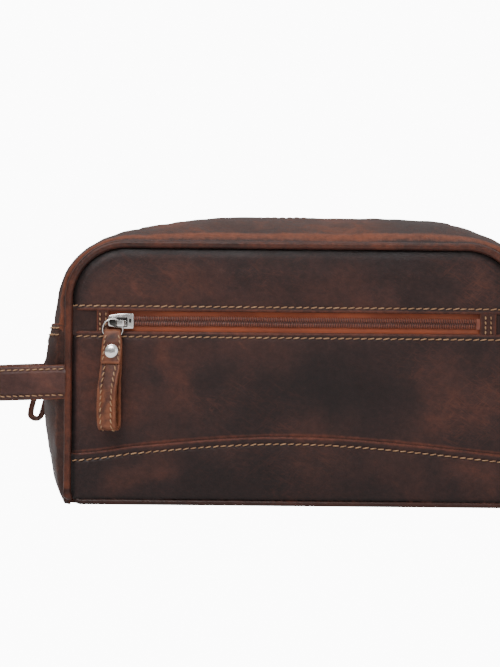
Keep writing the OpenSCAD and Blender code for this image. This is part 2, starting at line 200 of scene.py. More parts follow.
class Piece:
    """Grids gathered into one mesh. Its vertices carry two painted values: wear, which on the zip coil and
    the sliders is painted shade, and a tone value, which also holds painted shade and a painted sheen.
    """

    def __init__(self):
        self.v, self.f, self.w, self.s, self.n = [], [], [], [], 0

    def keep(self, v, f, wear_and_shade, tone_shade_sheen):
        self.v.append(v)
        self.f.append(f + self.n)
        self.w.append(wear_and_shade)
        self.s.append(tone_shade_sheen)
        self.n += len(v)
        return self

    def grid(self, p, wear_and_shade=0.0, wrap_u=False, wrap_v=False, flip=False, tone_shade_sheen=0.0):
        """A grid of points (u, v, 3), closed on itself where it wraps."""
        nu, nv = p.shape[:2]
        a, b = mesh_of(np.arange(nu if wrap_u else nu - 1), np.arange(nv if wrap_v else nv - 1))
        c, d = (a + 1) % nu, (b + 1) % nv
        f = np.stack([a * nv + b, c * nv + b, c * nv + d, a * nv + d], -1).reshape(-1, 4)
        painted = [np.broadcast_to(k, (nu, nv)).reshape(-1).astype(float) for k in (wear_and_shade, tone_shade_sheen)]
        return self.keep(p.reshape(-1, 3), f[:, ::-1] if flip else f, *painted)

    def fan(self, ring, wear_and_shade=0.0, flip=False):
        """Closes a ring of points with faces to its middle. A triangle repeats its last corner."""
        k = len(ring)
        i, mid = np.arange(k), np.full(k, k)
        f = np.stack([i, (i + 1) % k, mid, mid], -1)
        return self.keep(np.vstack([ring, ring.mean(0)]), f[:, [1, 0, 2, 3]] if flip else f,
                         np.full(k + 1, float(wear_and_shade)), np.zeros(k + 1))

    def shell(self, p, thick, wear_and_shade=0.0, under=0.0, tone_shade_sheen=0.0, plain=None):
        """Leather of a thickness: p is its face (u, v, 3). Its edges bow out, apart from the row plain."""
        rim = edge_push(p) * thick * EDGE_BOW
        q = p - normals(p) * thick
        full = np.broadcast_to(wear_and_shade, p.shape[:2])
        self.grid(p, full, tone_shade_sheen=tone_shade_sheen).grid(q, under, flip=True)
        if plain is not None:
            rim[plain] = 0
        for sl in ((0, slice(None)), (-1, slice(None)), (slice(None), 0), (slice(None), -1)):
            a, b, m, w = p[sl], q[sl], (p[sl] + q[sl]) / 2 + rim[sl], full[sl]
            if plain is not None and sl[0] == plain:
                self.grid(np.stack([a, b]), w)
                continue
            bow = m * 0.38 + rim[sl] * 0.25
            rows = [w, np.maximum(w, 0.55), np.maximum(w, 0.8), np.maximum(w, 0.8), w * 0 + under]
            self.grid(np.stack([a, a * 0.62 + bow, m, b * 0.62 + bow, b]), np.stack(rows))
        return self

    def make(self, name, material, slot, body="bag", replaces=(), sharp=50):
        """The piece as an object."""
        faces = [tuple(r[:3]) if r[2] == r[3] else tuple(r) for r in np.concatenate(self.f).tolist()]
        me = bpy.data.meshes.new(name)
        me.from_pydata((np.concatenate(self.v) * MM).tolist(), [], faces)
        for kind, values in (("wear_and_shade", self.w), ("tone_shade_sheen", self.s)):
            data = me.attributes.new(kind, "FLOAT", "POINT").data
            data.foreach_set("value", np.concatenate(values).astype(np.float32))
        bm = bmesh.new()
        bm.from_mesh(me)
        bmesh.ops.remove_doubles(bm, verts=bm.verts, dist=WELD * MM)
        bmesh.ops.recalc_face_normals(bm, faces=bm.faces)
        bm.to_mesh(me)
        bm.free()
        me.validate()
        me.shade_smooth()
        me.set_sharp_from_angle(angle=math.radians(sharp))
        ob = bpy.data.objects.new(name, me)
        bpy.context.scene.collection.objects.link(ob)
        me.materials.append(material)
        if replaces:
            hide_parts(*replaces)
        if body:
            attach(ob, body)
        return ob


def tube(path, radius, around, up, squash=1.0, wear_and_shade=0.0, piece=None):
    """A tube along path. up keeps its section from turning, and squash flattens it along up."""
    t = unit(np.gradient(path, axis=0))
    side = unit(np.cross(t, np.broadcast_to(np.asarray(up, float), path.shape)))
    r = np.broadcast_to(radius, (len(path),))[:, None, None]
    ring = rings(path, side, squash * np.cross(side, t), r, around)
    w = np.asarray(wear_and_shade, float)
    piece = (piece or Piece()).grid(ring, w[:, None] if w.ndim == 1 else w, wrap_v=True)
    return piece.fan(ring[0], flip=True).fan(ring[-1])


# ---------------------------------------------------------------- materials
class Nodes:
    """Short calls that add nodes to a tree and give their outputs."""

    def __init__(self, tree):
        self.tree = tree

    def feed(self, n, inputs):
        """Links or sets inputs of a node."""
        for k, v in inputs.items():
            if isinstance(v, bpy.types.NodeSocket):
                self.tree.links.new(v, n.inputs[k])
            else:
                n.inputs[k].default_value = v
        return n

    def node(self, kind, inputs=None, **props):
        n = self.tree.nodes.new("ShaderNode" + kind)
        for k, v in props.items():
            setattr(n, k, v)
        return self.feed(n, inputs or {})

    def coords(self, turn=(0, 0, 0), stretch=(1, 1, 1)):
        c = self.node("TexCoord").outputs["Object"]
        scale = tuple(1 / k for k in stretch)
        turned = self.node("Mapping", {"Vector": c, "Rotation": turn, "Scale": scale}, vector_type="TEXTURE")
        return turned.outputs[0]

    def noise(self, vec, scale, detail=3.0, rough=0.55, warp=0.0):
        values = {"Vector": vec, "Scale": scale, "Detail": detail, "Roughness": rough, "Distortion": warp}
        return self.node("TexNoise", values).outputs["Fac"]

    def painted(self, name):
        return self.node("Attribute", attribute_name=name).outputs["Fac"]

    def math(self, op, a, b=0.5, clamp=False):
        return self.node("Math", {0: a, 1: b}, operation=op, use_clamp=clamp).outputs[0]

    def mul(self, a, b, clamp=False):
        return self.math("MULTIPLY", a, b, clamp)

    def add(self, a, b, clamp=False):
        return self.math("ADD", a, b, clamp)

    def most(self, a, b):
        return self.math("MAXIMUM", a, b)

    def centred(self, a):
        return self.math("SUBTRACT", a, 0.5)

    def remap(self, x, a, b, lo=0.0, hi=1.0):
        values = {"Value": x, "From Min": a, "From Max": b, "To Min": lo, "To Max": hi}
        return self.node("MapRange", values, interpolation_type="SMOOTHSTEP").outputs["Result"]

    def ridge(self, a, width):
        """1 along the lines where a noise passes its middle."""
        return self.remap(self.math("ABSOLUTE", self.centred(a)), width, 0.0)

    def mix(self, fac, a, b):
        """Colours a and b mixed. Each is a socket or a tuple."""
        ends = [v if isinstance(v, bpy.types.NodeSocket) else (*v, 1.0) for v in (a, b)]
        return self.node("Mix", {0: fac, 6: ends[0], 7: ends[1]}, data_type="RGBA").outputs[2]

    def bump(self, height, strength, distance):
        return self.node("Bump", {"Height": height, "Strength": strength, "Distance": distance}).outputs[0]


def shader(name):
    m = bpy.data.materials.new(name)
    m.use_nodes = True
    m.node_tree.nodes.clear()
    t = Nodes(m.node_tree)
    bsdf = t.node("BsdfPrincipled")
    t.node("OutputMaterial", {0: bsdf.outputs[0]})
    return m, t, bsdf


def leather(name, dark, mid, rust, worn=0.35, red=0.5, rough=0.46, grain=1.0, scuff=1.0, base_wear=0.0):
    """Waxed pull-up leather: dark where the wax lies, rust where it has been rubbed, creased or folded, with
    painted shade and a painted sheen where the painted tone values say.
    """
    m, t, bsdf = shader(name)
    here = t.coords()
    wear_and_shade, tone_shade_sheen = t.painted("wear_and_shade"), t.painted("tone_shade_sheen")
    cloud = t.noise(here, 22.0, 5.0, 0.6, 0.4)
    patch = t.noise(t.coords((0.3, 0.2, 0.5), (1, 1, 1.7)), 48.0, 6.0, 0.62, 0.9)
    mottle = t.noise(here, 330.0, 4.0, 0.65)
    speck = t.noise(here, 1500.0, 3.0, 0.6)
    # creases in three directions, in some places only, and hairlines
    fine = 0.0
    for i, (turn, long) in enumerate((((0, 0.6, 0.2), 9), ((0, -0.75, 0.1), 8), ((0.2, 0.1, 0.3), 12))):
        stretched = t.noise(t.coords(turn, (1, 1, long)), 26.0 + 9 * i, 3.0, 0.5, 0.6)
        fine = t.most(t.ridge(stretched, 0.022), fine)
    gate = t.remap(t.noise(t.coords((1, 2, 3)), 16.0, 3.0, 0.5, 0.3), 0.44, 0.62)
    hair = t.ridge(t.noise(t.coords((0.1, 0.5, 0), (1, 1, 2.4)), 190.0, 4.0, 0.6, 0.8), 0.020)
    fine = t.most(t.mul(fine, gate), t.mul(hair, 0.6))
    fine = t.mul(fine, t.remap(tone_shade_sheen, -0.35, 0.55, 0.30, 1.0))
    # large soft patches; the painted tone values add to them, with a painted sheen where they are high and
    # painted shade where they are low
    rubbed_and_sheen = t.mul(t.remap(patch, 0.50, 0.80), t.remap(cloud, 0.42, 0.66))
    rubbed_and_sheen = t.add(rubbed_and_sheen, t.mul(tone_shade_sheen, t.remap(patch, 0.40, 0.62, 0.15, 1.0)), True)
    col = t.mix(t.remap(t.add(cloud, t.mul(tone_shade_sheen, 0.30)), 0.33, 0.66), dark, mid)
    col = t.mix(t.mul(rubbed_and_sheen, red, True), col, rust)
    col = t.mix(t.mul(fine, 0.46 * scuff, True), col, rust)
    # wear from the shape: folds, edges and the ridge of the piping, broken up by the mottling
    edge = t.add(wear_and_shade, t.mul(t.centred(mottle), 0.55))
    edge = t.add(edge, t.mul(t.centred(cloud), 0.9))
    edge = t.remap(t.add(edge, base_wear), 0.25, 1.05)
    col = t.mix(t.mul(edge, worn, True), col, rust)
    # the value: random mottling, times painted shade where the tone values fall below 0 (the seam grooves and
    # the lower front)
    shade = t.mul(t.remap(mottle, 0.25, 0.75, 0.80, 1.20), t.remap(tone_shade_sheen, -1.6, 0.1, 0.20, 1.0))
    r = t.add(t.remap(cloud, 0.3, 0.7, rough - 0.07, rough + 0.08), t.mul(t.centred(speck), 0.22))
    inputs = {"Vector": here, "Scale": 780.0, "Randomness": 1.0}
    cells = t.node("TexVoronoi", inputs, feature="DISTANCE_TO_EDGE")
    h = t.add(t.mul(t.remap(cells.outputs["Distance"], 0.0, 0.28), 0.45), t.mul(mottle, 0.9))
    h = t.math("SUBTRACT", t.add(h, t.mul(speck, 0.25)), t.mul(fine, 0.5))
    t.feed(bsdf, {
        "Base Color": t.node("HueSaturation", {"Color": col, "Value": shade}).outputs[0],
        "Roughness": t.add(r, t.mul(fine, 0.06)),
        "Specular IOR Level": 0.22,
        "Sheen Weight": 0.015,
        "Sheen Roughness": 0.45,
        "Sheen Tint": (0.75, 0.6, 0.55, 1),
        "Normal": t.bump(t.add(h, t.mul(patch, 1.6)), 0.55 * grain, 0.00022),
    })
    return m


def thread_material():
    """Waxed thread, with a twist too fine to see and a soft change of tone."""
    m, t, bsdf = shader("waxed_thread")
    here = t.coords()
    tone, ply = t.noise(here, 260.0, 3.0, 0.6), t.noise(here, 2600.0, 2.0, 0.6)
    col = t.mix(t.remap(tone, 0.35, 0.7), (0.215, 0.112, 0.054), (0.37, 0.215, 0.112))
    col = t.mix(t.remap(ply, 0.4, 0.6, 0.0, 0.5), col, (0.20, 0.10, 0.04))
    t.feed(bsdf, {"Base Color": col, "Roughness": 0.62, "Normal": t.bump(ply, 0.5, 0.00012)})
    return m


def woven(name, a, b, scale, rough, between_threads=(0.1, 0.05, 0.03)):
    """Cloth: threads over and under, darker between, with a soft change of tone."""
    m, t, bsdf = shader(name)
    here = t.coords()
    weave = 0.0
    for d in "XYZ":
        values = {"Vector": here, "Scale": scale, "Distortion": 0.6, "Detail": 1.0, "Detail Scale": 2.0}
        weave = t.most(t.node("TexWave", values, wave_type="BANDS", bands_direction=d).outputs["Fac"], weave)
    col = t.mix(t.remap(t.noise(here, 60.0, 4.0, 0.6), 0.3, 0.7), a, b)
    # darker between the threads
    col = t.mix(t.remap(weave, 0.9, 0.2, 0.0, 0.45), col, between_threads)
    t.feed(bsdf, {"Base Color": col, "Roughness": rough, "Normal": t.bump(weave, 0.6, 0.0002)})
    return m


def plastic(name, a, b, rough):
    """Nylon or board, with painted shade where the painted values say it is deep."""
    m, t, bsdf = shader(name)
    n = t.noise(t.coords(), 500.0, 3.0, 0.6)
    col = t.mix(t.mul(t.painted("wear_and_shade"), 0.85), t.mix(t.remap(n, 0.3, 0.7), a, b), tuple(0.12 * c for c in a))
    t.feed(bsdf, {"Base Color": col, "Roughness": t.remap(n, 0.2, 0.8, rough - 0.08, rough + 0.1)})
    return m


def metal(name, tint, rough):
    """Nickel plate with smudges, and painted shadow in black where the painted values say: round the slider's
    bridge, in its dark stripe and at the bridge's feet.
    """
    m, t, bsdf = shader(name)
    here = t.coords()
    n, smudge = t.noise(here, 700.0, 4.0, 0.6), t.noise(here, 160.0, 3.0, 0.5)
    col = t.mix(t.remap(smudge, 0.35, 0.75), tint, tuple(0.82 * c for c in tint))
    col = t.mix(t.mul(t.painted("wear_and_shade"), 0.95), col, (0.012, 0.011, 0.010))
    gloss = t.remap(n, 0.2, 0.8, rough - 0.02, rough + 0.05)
    bumps = t.bump(n, 0.02, 0.00005)
    t.feed(bsdf, {"Base Color": col, "Metallic": 1.0, "Roughness": gloss, "Normal": bumps})
    return m


PANEL = leather("leather_panel", (0.0152, 0.0069, 0.0064), (0.0310, 0.0116, 0.0090), (0.098, 0.0275, 0.0150),
                worn=0.8, red=0.42)
GUSSET = leather("leather_gusset", (0.0175, 0.0070, 0.0056), (0.037, 0.0138, 0.0090), (0.135, 0.036, 0.015),
                 worn=0.8, red=0.6)
PIPING = leather("leather_piping", (0.020, 0.0076, 0.0058), (0.038, 0.0125, 0.0085), (0.102, 0.026, 0.0115),
                 worn=0.75, red=0.4, rough=0.42, grain=0.7, base_wear=0.04)
STRAP = leather("leather_strap", (0.038, 0.0158, 0.0135), (0.070, 0.0265, 0.0195), (0.155, 0.046, 0.0215),
                worn=0.75, red=0.4, rough=0.44)
PULL = leather("leather_pull", (0.034, 0.0135, 0.0100), (0.058, 0.0200, 0.0130), (0.165, 0.054, 0.024),
               worn=0.8, red=0.6, rough=0.48)
BACKING = leather("leather_back", (0.14, 0.065, 0.036), (0.20, 0.09, 0.048), (0.27, 0.12, 0.06),
                  rough=0.75, scuff=0.2)
THREAD = thread_material()
TAPE = woven("zip_tape", (0.140, 0.0245, 0.0050), (0.198, 0.0370, 0.0078), 620.0, 0.78)
COIL = plastic("zip_coil", (0.098, 0.0205, 0.0088), (0.150, 0.0345, 0.0140), 0.48)
CLOTH = woven("lining_cloth", (0.24, 0.19, 0.14), (0.33, 0.27, 0.20), 500.0, 0.9, between_threads=(0.12, 0.09, 0.06))
NICKEL = metal("nickel", (0.72, 0.70, 0.67), 0.22)
BOARD = plastic("board", (0.36, 0.28, 0.19), (0.46, 0.37, 0.26), 0.85)
SLOT_LOOKS = {"leather_dark": PANEL, "leather_worn": PIPING, "leather_lining": BACKING, "zip_tape": TAPE,
              "zip_coil": COIL, "lining_cloth": CLOTH, "board": BOARD, "nickel": NICKEL}
for part in frame["record"]["subparts"]:
    if part["material_slot"] in SLOT_LOOKS:
        cad_mesh = frame["nodes"][part["node"]].data
        cad_mesh.materials.clear()
        cad_mesh.materials.append(SLOT_LOOKS[part["material_slot"]])


# ---------------------------------------------------------------- stitches
def stitches(piece, path, out, pitch, length, thick=0.9, slant=0.22, sink=0.12, start=0.5):
    """Separate stitches along path, with out pointing off the leather. Returns the holes' distances."""
    out = np.broadcast_to(np.asarray(out, float), path.shape)
    seg = lengths(path)
    at = (np.arange(int(seg[-1] / pitch)) + start) * pitch
    at = at[(at > 0.52 * length) & (at < seg[-1] - 0.52 * length)]
    holes = []
    u = np.linspace(-0.5, 0.5, 9)
    end = 2 * np.abs(u)
    around = 7
    ply = 1 + 0.10 * np.cos(2 * (circle(around)[None, :] - 7.5 * u[:, None]))
    for s in at:
        s = s + RNG.normal(0, 0.06)
        ln = length * RNG.uniform(0.93, 1.05)
        pos = np.clip(s + u * ln, 0, seg[-1])
        c, o = sample(path, seg, pos), unit(sample(out, seg, pos))
        side = np.cross(unit(np.gradient(c, axis=0)), o)
        tilt = slant + RNG.normal(0, 0.05)
        lift = (1 - end ** 2.6) * thick * 0.42 - sink - 0.30 * step(0.40, 0.5, np.abs(u))
        c = c + o * lift[:, None] - side * (u * ln * tilt)[:, None]
        r = thick / 2 * (1 - 0.42 * end ** 4) * RNG.uniform(0.94, 1.05)
        ring = rings(c, side, 0.8 * o, (r[:, None] * ply)[..., None], around)
        piece.grid(ring, wrap_v=True).fan(ring[0]).fan(ring[-1])
        holes += [s - ln / 2, s + ln / 2]
    return np.array(holes)


def pucker(along, across, holes, depth):
    """How far a row of stitches pulls the leather down: a shallow trough, with a dimple at each hole."""
    hs = np.sort(holes)
    i = np.clip(np.searchsorted(hs, along), 1, len(hs) - 1)
    near = np.minimum(np.abs(along - hs[i - 1]), np.abs(along - hs[i]))
    trough = 0.7 * bell(across, 0.85) + 0.35 * bell(across, 2.6)
    return depth * (trough + bell(near, 0.7) * bell(across, 0.8))


# ---------------------------------------------------------------- front
FRONT_WAVE, FRONT_RIPPLE = waves(3, 62), waves(4, 24)
SMOKE_A, SMOKE_B = waves(91, 75), waves(92, 26)
# the front's columns, a little closer together at the sides
COLUMNS = np.linspace(-1, 1, 300)
COLUMNS = np.sign(COLUMNS) * np.abs(COLUMNS) ** 0.96
# marks on the front, each a place, a size, a turn in degrees and a strength: rubbed above 0, but the one at
# (-112, 70) is a painted sheen; below 0 they are painted shade, mostly over the lower middle and along the
# bottom
MARKS = (((-66, 72), (26, 7), -58, 0.75), ((-112, 70), (15, 28), 0, 0.9), ((96, 52), (26, 16), 20, 0.55),
         ((28, 66), (40, 24), 0, -0.62), ((-30, 60), (30, 18), 10, -0.42), ((-88, 16), (22, 6), 12, 0.8),
         ((101, 20), (16, 7), -20, 0.7), ((-100, 118), (14, 8), 30, 0.3), ((0, 14), (170, 22), 0, -0.42),
         ((-70, 100), (30, 20), 0, -0.1))


def half_width(z):
    """Half the width of a panel at height z, inside its piping."""
    width = []
    for radius, past in ((TOP_R, z - HIGH + TOP_R), (FOOT_R, FOOT_R - z)):
        r = radius - PANEL_IN
        width.append(HALF_W - radius + np.sqrt(r * r - np.clip(past, 0, r) ** 2))
    return np.minimum(*width)


def seam_distance(x, z):
    """Distance in from the piping's inner edge."""
    inset = 2 * PIPE_R
    dx, dz = np.abs(x) - HALF_W + TOP_R, z - HIGH + TOP_R
    corner = TOP_R - inset - np.hypot(np.maximum(dx, 0), np.maximum(dz, 0))
    straight = np.minimum(np.minimum(HALF_W - inset - np.abs(x), HIGH - inset - z), z - 2.0)
    return np.where((dx > 0) & (dz > 0), corner, straight)


def panel_swell(x, z):
    return (1 - (x / 135) ** 4) * (1 - ((z - 70) / 92) ** 4)


def relief(x, z):
    """How far the front stands out of its seam plane: a soft swell that falls into the seam."""
    d, p = seam_distance(x, z), xyz(x, 0, z)
    soft = 0.40 * FRONT_WAVE(p) + 0.10 * FRONT_RIPPLE(p)
    return (1.3 * panel_swell(x, z) + soft) * step(0, 16, d) + 1.9 * step(-0.8, 4.6, d) - 1.9


def arch(x):
    """Top edge of the arched band."""
    t = np.abs((x + 3) / 124.0)
    left = 28.6 + 9.2 * step(0, 1, 1 - t) ** 0.92
    right = 28.2 + 9.6 * (1 - t ** 1.9)
    lean = np.where(x < -3, 0.55, 0.4)
    return lean * left + (1 - lean) * right - 1.1 * step(-88, -112, x)


def front_tone_shade_sheen(x, z):
    """Where the waxed leather has been rubbed lighter and redder, with one painted sheen (above 0), and
    painted shade over the lower front, in the seam groove and under the top piping (below 0).
    """
    p = xyz(x + 6 * SMOKE_B(xyz(z, 0, x)), 0, z)
    q = 0.12 * SMOKE_A(p) + 0.10 * SMOKE_B(p)
    for at, size, turn, much in MARKS:
        c, s = math.cos(math.radians(turn)), math.sin(math.radians(turn))
        u, v = p[..., 0] - at[0], p[..., 2] - at[1]
        q = q + much * bell(u * c + v * s, size[0]) * bell(v * c - u * s, size[1])
    # painted shade: darkest in the groove along the piping, and a little darker just under the top piping
    d = seam_distance(x, z)
    return q - 1.7 * step(3.0, 0.3, d) - 0.30 * step(13, 3, d) * step(95, 125, z)


def spread(lo, hi, fine, coarse=2.2):
    """Heights from lo to hi, close together near those in fine."""
    z, out, close = lo, [lo], 0.42
    while z < hi - 0.3:
        z += close + (coarse - close) * step(1.0, 4.0, min(abs(z - f) for f in fine))
        out.append(min(z, hi))
    return out


def front_row(thread, line, face=0.0, **kind):
    """A row of stitches across the front: its height as a function of x, and its holes."""
    x = np.linspace(-123.4, 123.4, 900)
    z = line(x)
    path = xyz(x, -FACE_Y - relief(x, z) - face, z)
    return line, stitches(thread, path, (0, -1, 0), PITCH, thick=0.74, **kind)


def front_sheet(name, node_name, heights, row, folds, depth=0.32, face=0.0, thick=2.0):
    """A panel of the front, pulled in along its row of stitches and worn along its folds."""
    z = np.array([h + 0 * COLUMNS for h in heights])
    x = COLUMNS * half_width(z)
    line, holes = row
    y = relief(x, z) + face - pucker(x + 130, z - line(x), holes + 6.6, depth)
    wear_and_shade = 0.35 * bell(seam_distance(x, z), 5.0)
    for fold in folds:
        wear_and_shade = np.maximum(wear_and_shade, 0.75 * bell(z - fold(x), 1.1))
    p, wear_and_shade, tone_shade_sheen = face_out(xyz(x, -FACE_Y - y, z), (0, -1, 0), wear_and_shade, front_tone_shade_sheen(x, z))
    Piece().shell(p, thick, wear_and_shade, tone_shade_sheen=tone_shade_sheen).make(name, PANEL, "leather_dark", replaces=[node_name])


def build_front():
    thread = Piece()
    up = front_row(thread, lambda x: EDGE_UP + 2.0 + 0 * x, length=3.35, slant=0.19)
    low = front_row(thread, lambda x: EDGE_LOW - 2.2 + 0 * x, length=3.35, slant=0.19, start=0.2)
    bow = front_row(thread, lambda x: arch(x) - 3.4, face=1.5, length=3.3, slant=0.20, start=0.7)
    top = HIGH - PANEL_IN
    front_sheet("front_upper", "front_upper_panel", spread(EDGE_UP, top, [EDGE_UP, EDGE_UP + 2.0, HIGH - 4]),
                up, [lambda x: EDGE_UP])
    heights = spread(20.0, EDGE_LOW, [EDGE_LOW, EDGE_LOW - 2.2, 38, 34, 30])
    folds = [lambda x: EDGE_LOW, lambda x: arch(x) + 1.6]
    front_sheet("front_lower", "front_lower_panel", heights, low, folds)
    foot = 3.0
    rise = arch(COLUMNS * (HALF_W - 3.6)) - foot
    heights = [foot + rise * f for f in np.r_[np.linspace(0, 0.72, 22), np.linspace(0.74, 1.0, 26)]]
    front_sheet("front_arch", "front_arch_band", heights, bow, [arch], depth=0.34, face=1.5, thick=1.8)
    thread.make("front_thread", THREAD, "leather_worn")


build_front()


# ---------------------------------------------------------------- piping and bindings
def outline(inset, low=FOOT_R):
    """A panel's outline, from the middle of its base round over the top and back, closed: points (x, z)."""
    r, lx, lr = TOP_R - inset, HALF_W - low, low - inset
    half = np.concatenate([
        xyz(np.linspace(0, lx, 60, endpoint=False), inset),
        xyz(lx + lr * np.sin(quarter(14)), low - lr * np.cos(quarter(14))),
        xyz(HALF_W - inset, np.linspace(low, HIGH - TOP_R, 70, endpoint=False)),
        xyz(HALF_W - TOP_R + r * np.cos(quarter(44)), HIGH - TOP_R + r * np.sin(quarter(44))),
        xyz(np.linspace(HALF_W - TOP_R, 0, 60, endpoint=False), HIGH - inset),
    ])
    return np.vstack([half * [-1, 1], [(0.0, HIGH - inset)], half[:0:-1]])


def build_piping(sign, name, node_name):
    """The covered cord in a seam: from foot to foot over the top, with end knobs, and a thin one below."""
    o = outline(PIPE_R)
    k = len(o) // 2
    foot = np.array([(-HALF_W + PIPE_R - 0.1, 2.4)])
    first = int(np.argmin(np.hypot(o[:k, 0] + HALF_W - PIPE_R, o[:k, 1] - 3.4)))
    last = k + int(np.argmin(np.hypot(o[k:, 0] - HALF_W + PIPE_R, o[k:, 1] - 3.4)))
    main = np.vstack([foot, o[first:last + 1], foot * [-1, 1]])
    seg = lengths(main)
    s = np.linspace(0, seg[-1], 640)
    xz = sample(main, seg, s)
    p = xyz(xz[:, 0], sign * SEAM_Y, xz[:, 1])
    g, g2 = waves(11 if sign < 0 else 12, 34), waves(13, 7)
    end = np.minimum(s, seg[-1] - s)
    radius = PIPE_R * (1 + 0.014 * g(p) + 0.012 * g2(p)) * np.sqrt(1 - (1 - np.clip(end / 2.0, 0.02, 1)) ** 2)
    radius *= 1 + 0.24 * bell(end - 2.2, 2.4)
    around = 20
    patches = (0.22 * g(p) + 0.25 * step(100, 70, p[:, 2]))[:, None]
    w = 0.16 + 0.34 * np.cos(circle(around) - math.pi / 2)[None] + patches
    w = w * np.where(p[:, 2] < 9, 0.6, 1.0)[:, None]
    piece = tube(p, radius, around, (0, sign, 0), wear_and_shade=w)
    x = np.linspace(-HALF_W + 6.5, HALF_W - 6.5, 260)
    end = HALF_W - 6.5 - np.abs(x)
    p = xyz(x, sign * (SEAM_Y + 0.4), 1.7 + 1.0 * step(3.2, 0, end))
    radius = 1.62 * np.sqrt(1 - (1 - np.clip(end / 1.6, 0.05, 1)) ** 2)
    tube(p, radius, 14, (0, sign, 0), wear_and_shade=0.1 + 0.2 * g(p), piece=piece)
    piece.make(name, PIPING, "leather_worn", replaces=[node_name])


build_piping(-1, "piping_front", "front_piping")
build_piping(1, "piping_back", "back_piping")


def build_binding(sign, side):
    """The cloth tape bound over a seam's edges inside."""
    wide, inner, outer = 6.3, 47.35, 47.9
    o = outline(3.5, low=12.5)
    t = unit(np.roll(o, -1, 0) - np.roll(o, 1, 0))
    inward = np.stack([t[:, 1], -t[:, 0]], 1)
    w = np.linspace(0, wide, 9)
    q = o[:, None] + inward[:, None] * w[None, :, None]
    y = inner - 0.35 * (1 - (w / (wide / 2) - 1) ** 2)[None]
    y = y + 0.08 * waves(14, 9)(xyz(q[..., 0], 0, q[..., 1]))
    sides = [xyz(q[..., 0], sign * d, q[..., 1]) for d in (y, outer)]
    piece = Piece().grid(sides[0], wrap_u=True).grid(sides[1], wrap_u=True)
    for e in (0, -1):
        piece.grid(np.stack([s[:, e] for s in sides], 1), wrap_u=True)
    piece.make(f"binding_{side}", CLOTH, "lining_cloth", replaces=[f"{side}_seam_binding"])


build_binding(-1, "front")
build_binding(1, "back")


# ---------------------------------------------------------------- gusset
GUSSET_WAVE, GUSSET_FOLD = waves(21, 46), waves(22, 13)
# how much the right shoulder stands higher, and the left one lower and slimmer, by distance from the middle
fuller = curve([(-8, 0), (14, 0), (30, 0.8), (60, 3.0), (76, 4.3), (88, 3.2), (101, 1.4), (112, 2.6),
                (124, 2.0), (134, 0)], 14)
slacker = curve([(-8, 0), (4, 0), (22, 1.1), (40, 1.7), (73, 1.6), (84, 0.0), (99, -1.2), (112, -0.9),
                 (124, -0.4), (134, 0)], 14)
waist = curve([(100, 0), (106, 0.9), (114, 1.5), (122, 1.2), (132, 0.4), (140, 0)], 10)


def side_out(z):
    """How far an end stands out at mid depth, at height z."""
    heights = [2, 4, 10.7, 18, 26.8, 34, 40, 48.5, 57, 68, 78, 88, 99, 112.6]
    out = [1.2, 2.7, 6.1, 8.2, 9.9, 11.3, 11.9, 12.4, 12.6, 12.6, 12.3, 11.5, 10.6, 9.9]
    zz = np.arange(-30, 150, 0.5)
    v = np.where(zz < 2, 1.2 + (zz - 2) * 1.5, np.interp(zz, heights, out))
    k = np.hanning(25)
    return np.interp(z, zz, np.convolve(np.pad(v, 12, mode="edge"), k / k.sum(), mode="valid"))


def stations(z0, x1):
    """The left half, from height z0 up the end and over to x1: points (x, z) at the seam and mid depth."""
    z, t = np.arange(z0, SIDE_TOP, 1.6), np.linspace(0, 1, 8, endpoint=False)
    c, s = np.cos(quarter(48)), np.sin(quarter(48))
    u = np.linspace(0, 1, 52)
    top = -ARC_X + u * (x1 + ARC_X)
    seam = [xyz(-HALF_W, z), xyz(-HALF_W, SIDE_TOP + t * (HIGH - TOP_R - SIDE_TOP)),
            xyz(-HALF_W + TOP_R - TOP_R * c, HIGH - TOP_R + TOP_R * s),
            xyz(-HALF_W + TOP_R + u * (x1 + HALF_W - TOP_R), HIGH)]
    middle = [xyz(-HALF_W - side_out(z), z), xyz(-ARC_X - ARC_R, SIDE_TOP + t * (ARC_Z - SIDE_TOP)),
              xyz(-ARC_X - ARC_R * c, ARC_Z + ARC_R * s),
              xyz(top, HIGH + CROWN - TOP_FALL * (top / TOP_HALF) ** 2)]
    return np.concatenate(seam), np.concatenate(middle)


def gusset_point(p, m, y, lift=0.0):
    """Points of the swelling gusset at depths y (n,) for each station (k,): (k, n, 3)."""
    turn = np.clip((m[:, 1] - 112) / 45, 0, 1) * np.clip((-m[:, 0] - 78) / 55, 0, 1)
    full = 2.5 + 0.9 * step(135, 112, m[:, 1]) + 7.0 * turn
    f = 1 - (np.abs(y)[None, :] / 49.0) ** full[:, None]
    q = p[:, None] + (m - p)[:, None] * f[..., None]
    x, z = q[..., 0], q[..., 1]
    hollow = 90 - np.sqrt(90.0 ** 2 - y ** 2)
    h = (hollow + 0.9 * step(9, 24, np.abs(y)))[None, :]
    # the zip's stiff line holds the middle in at the ends: below the bend it is straight, then an arc
    x_low = -smin(-x, HALF_W + DENT_SLOPE * (BEND_Z - z) + h + lift + 0.3, 0.9)
    dx, dz = -BEND_X - x, z - BEND_Z
    r = np.hypot(dx, dz)
    held = smin(r, BEND_R + h + lift + 0.3, 0.9)
    x_arc, z_arc = -BEND_X - dx / r * held, BEND_Z + dz / r * held
    low = step(BEND_Z + 3, BEND_Z - 3, z)
    in_arc = step(-BEND_X + 14, -BEND_X - 4, x)
    xa, za = x_low * low + x_arc * (1 - low), z * low + z_arc * (1 - low)
    x, z = x + (xa - x) * in_arc, z + (za - z) * in_arc
    # over the top the leather sinks a little towards the zip
    z = z - 0.95 * step(13.5, 6.0, np.abs(y))[None, :] * (1 - 0.9 * bell(x, 14)) * step(-88, -66, x)
    return xyz(x, y, z)


def who_is(end, sign):
    """Names of an end and a half: end is -1 left, 1 right; sign is -1 front, 1 back."""
    return ("left", "", "right")[end + 1], ("front", "", "back")[sign + 1]


def carry(ob):
    """Bakes the placement of a gusset or zip piece into its mesh."""
    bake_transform(ob)


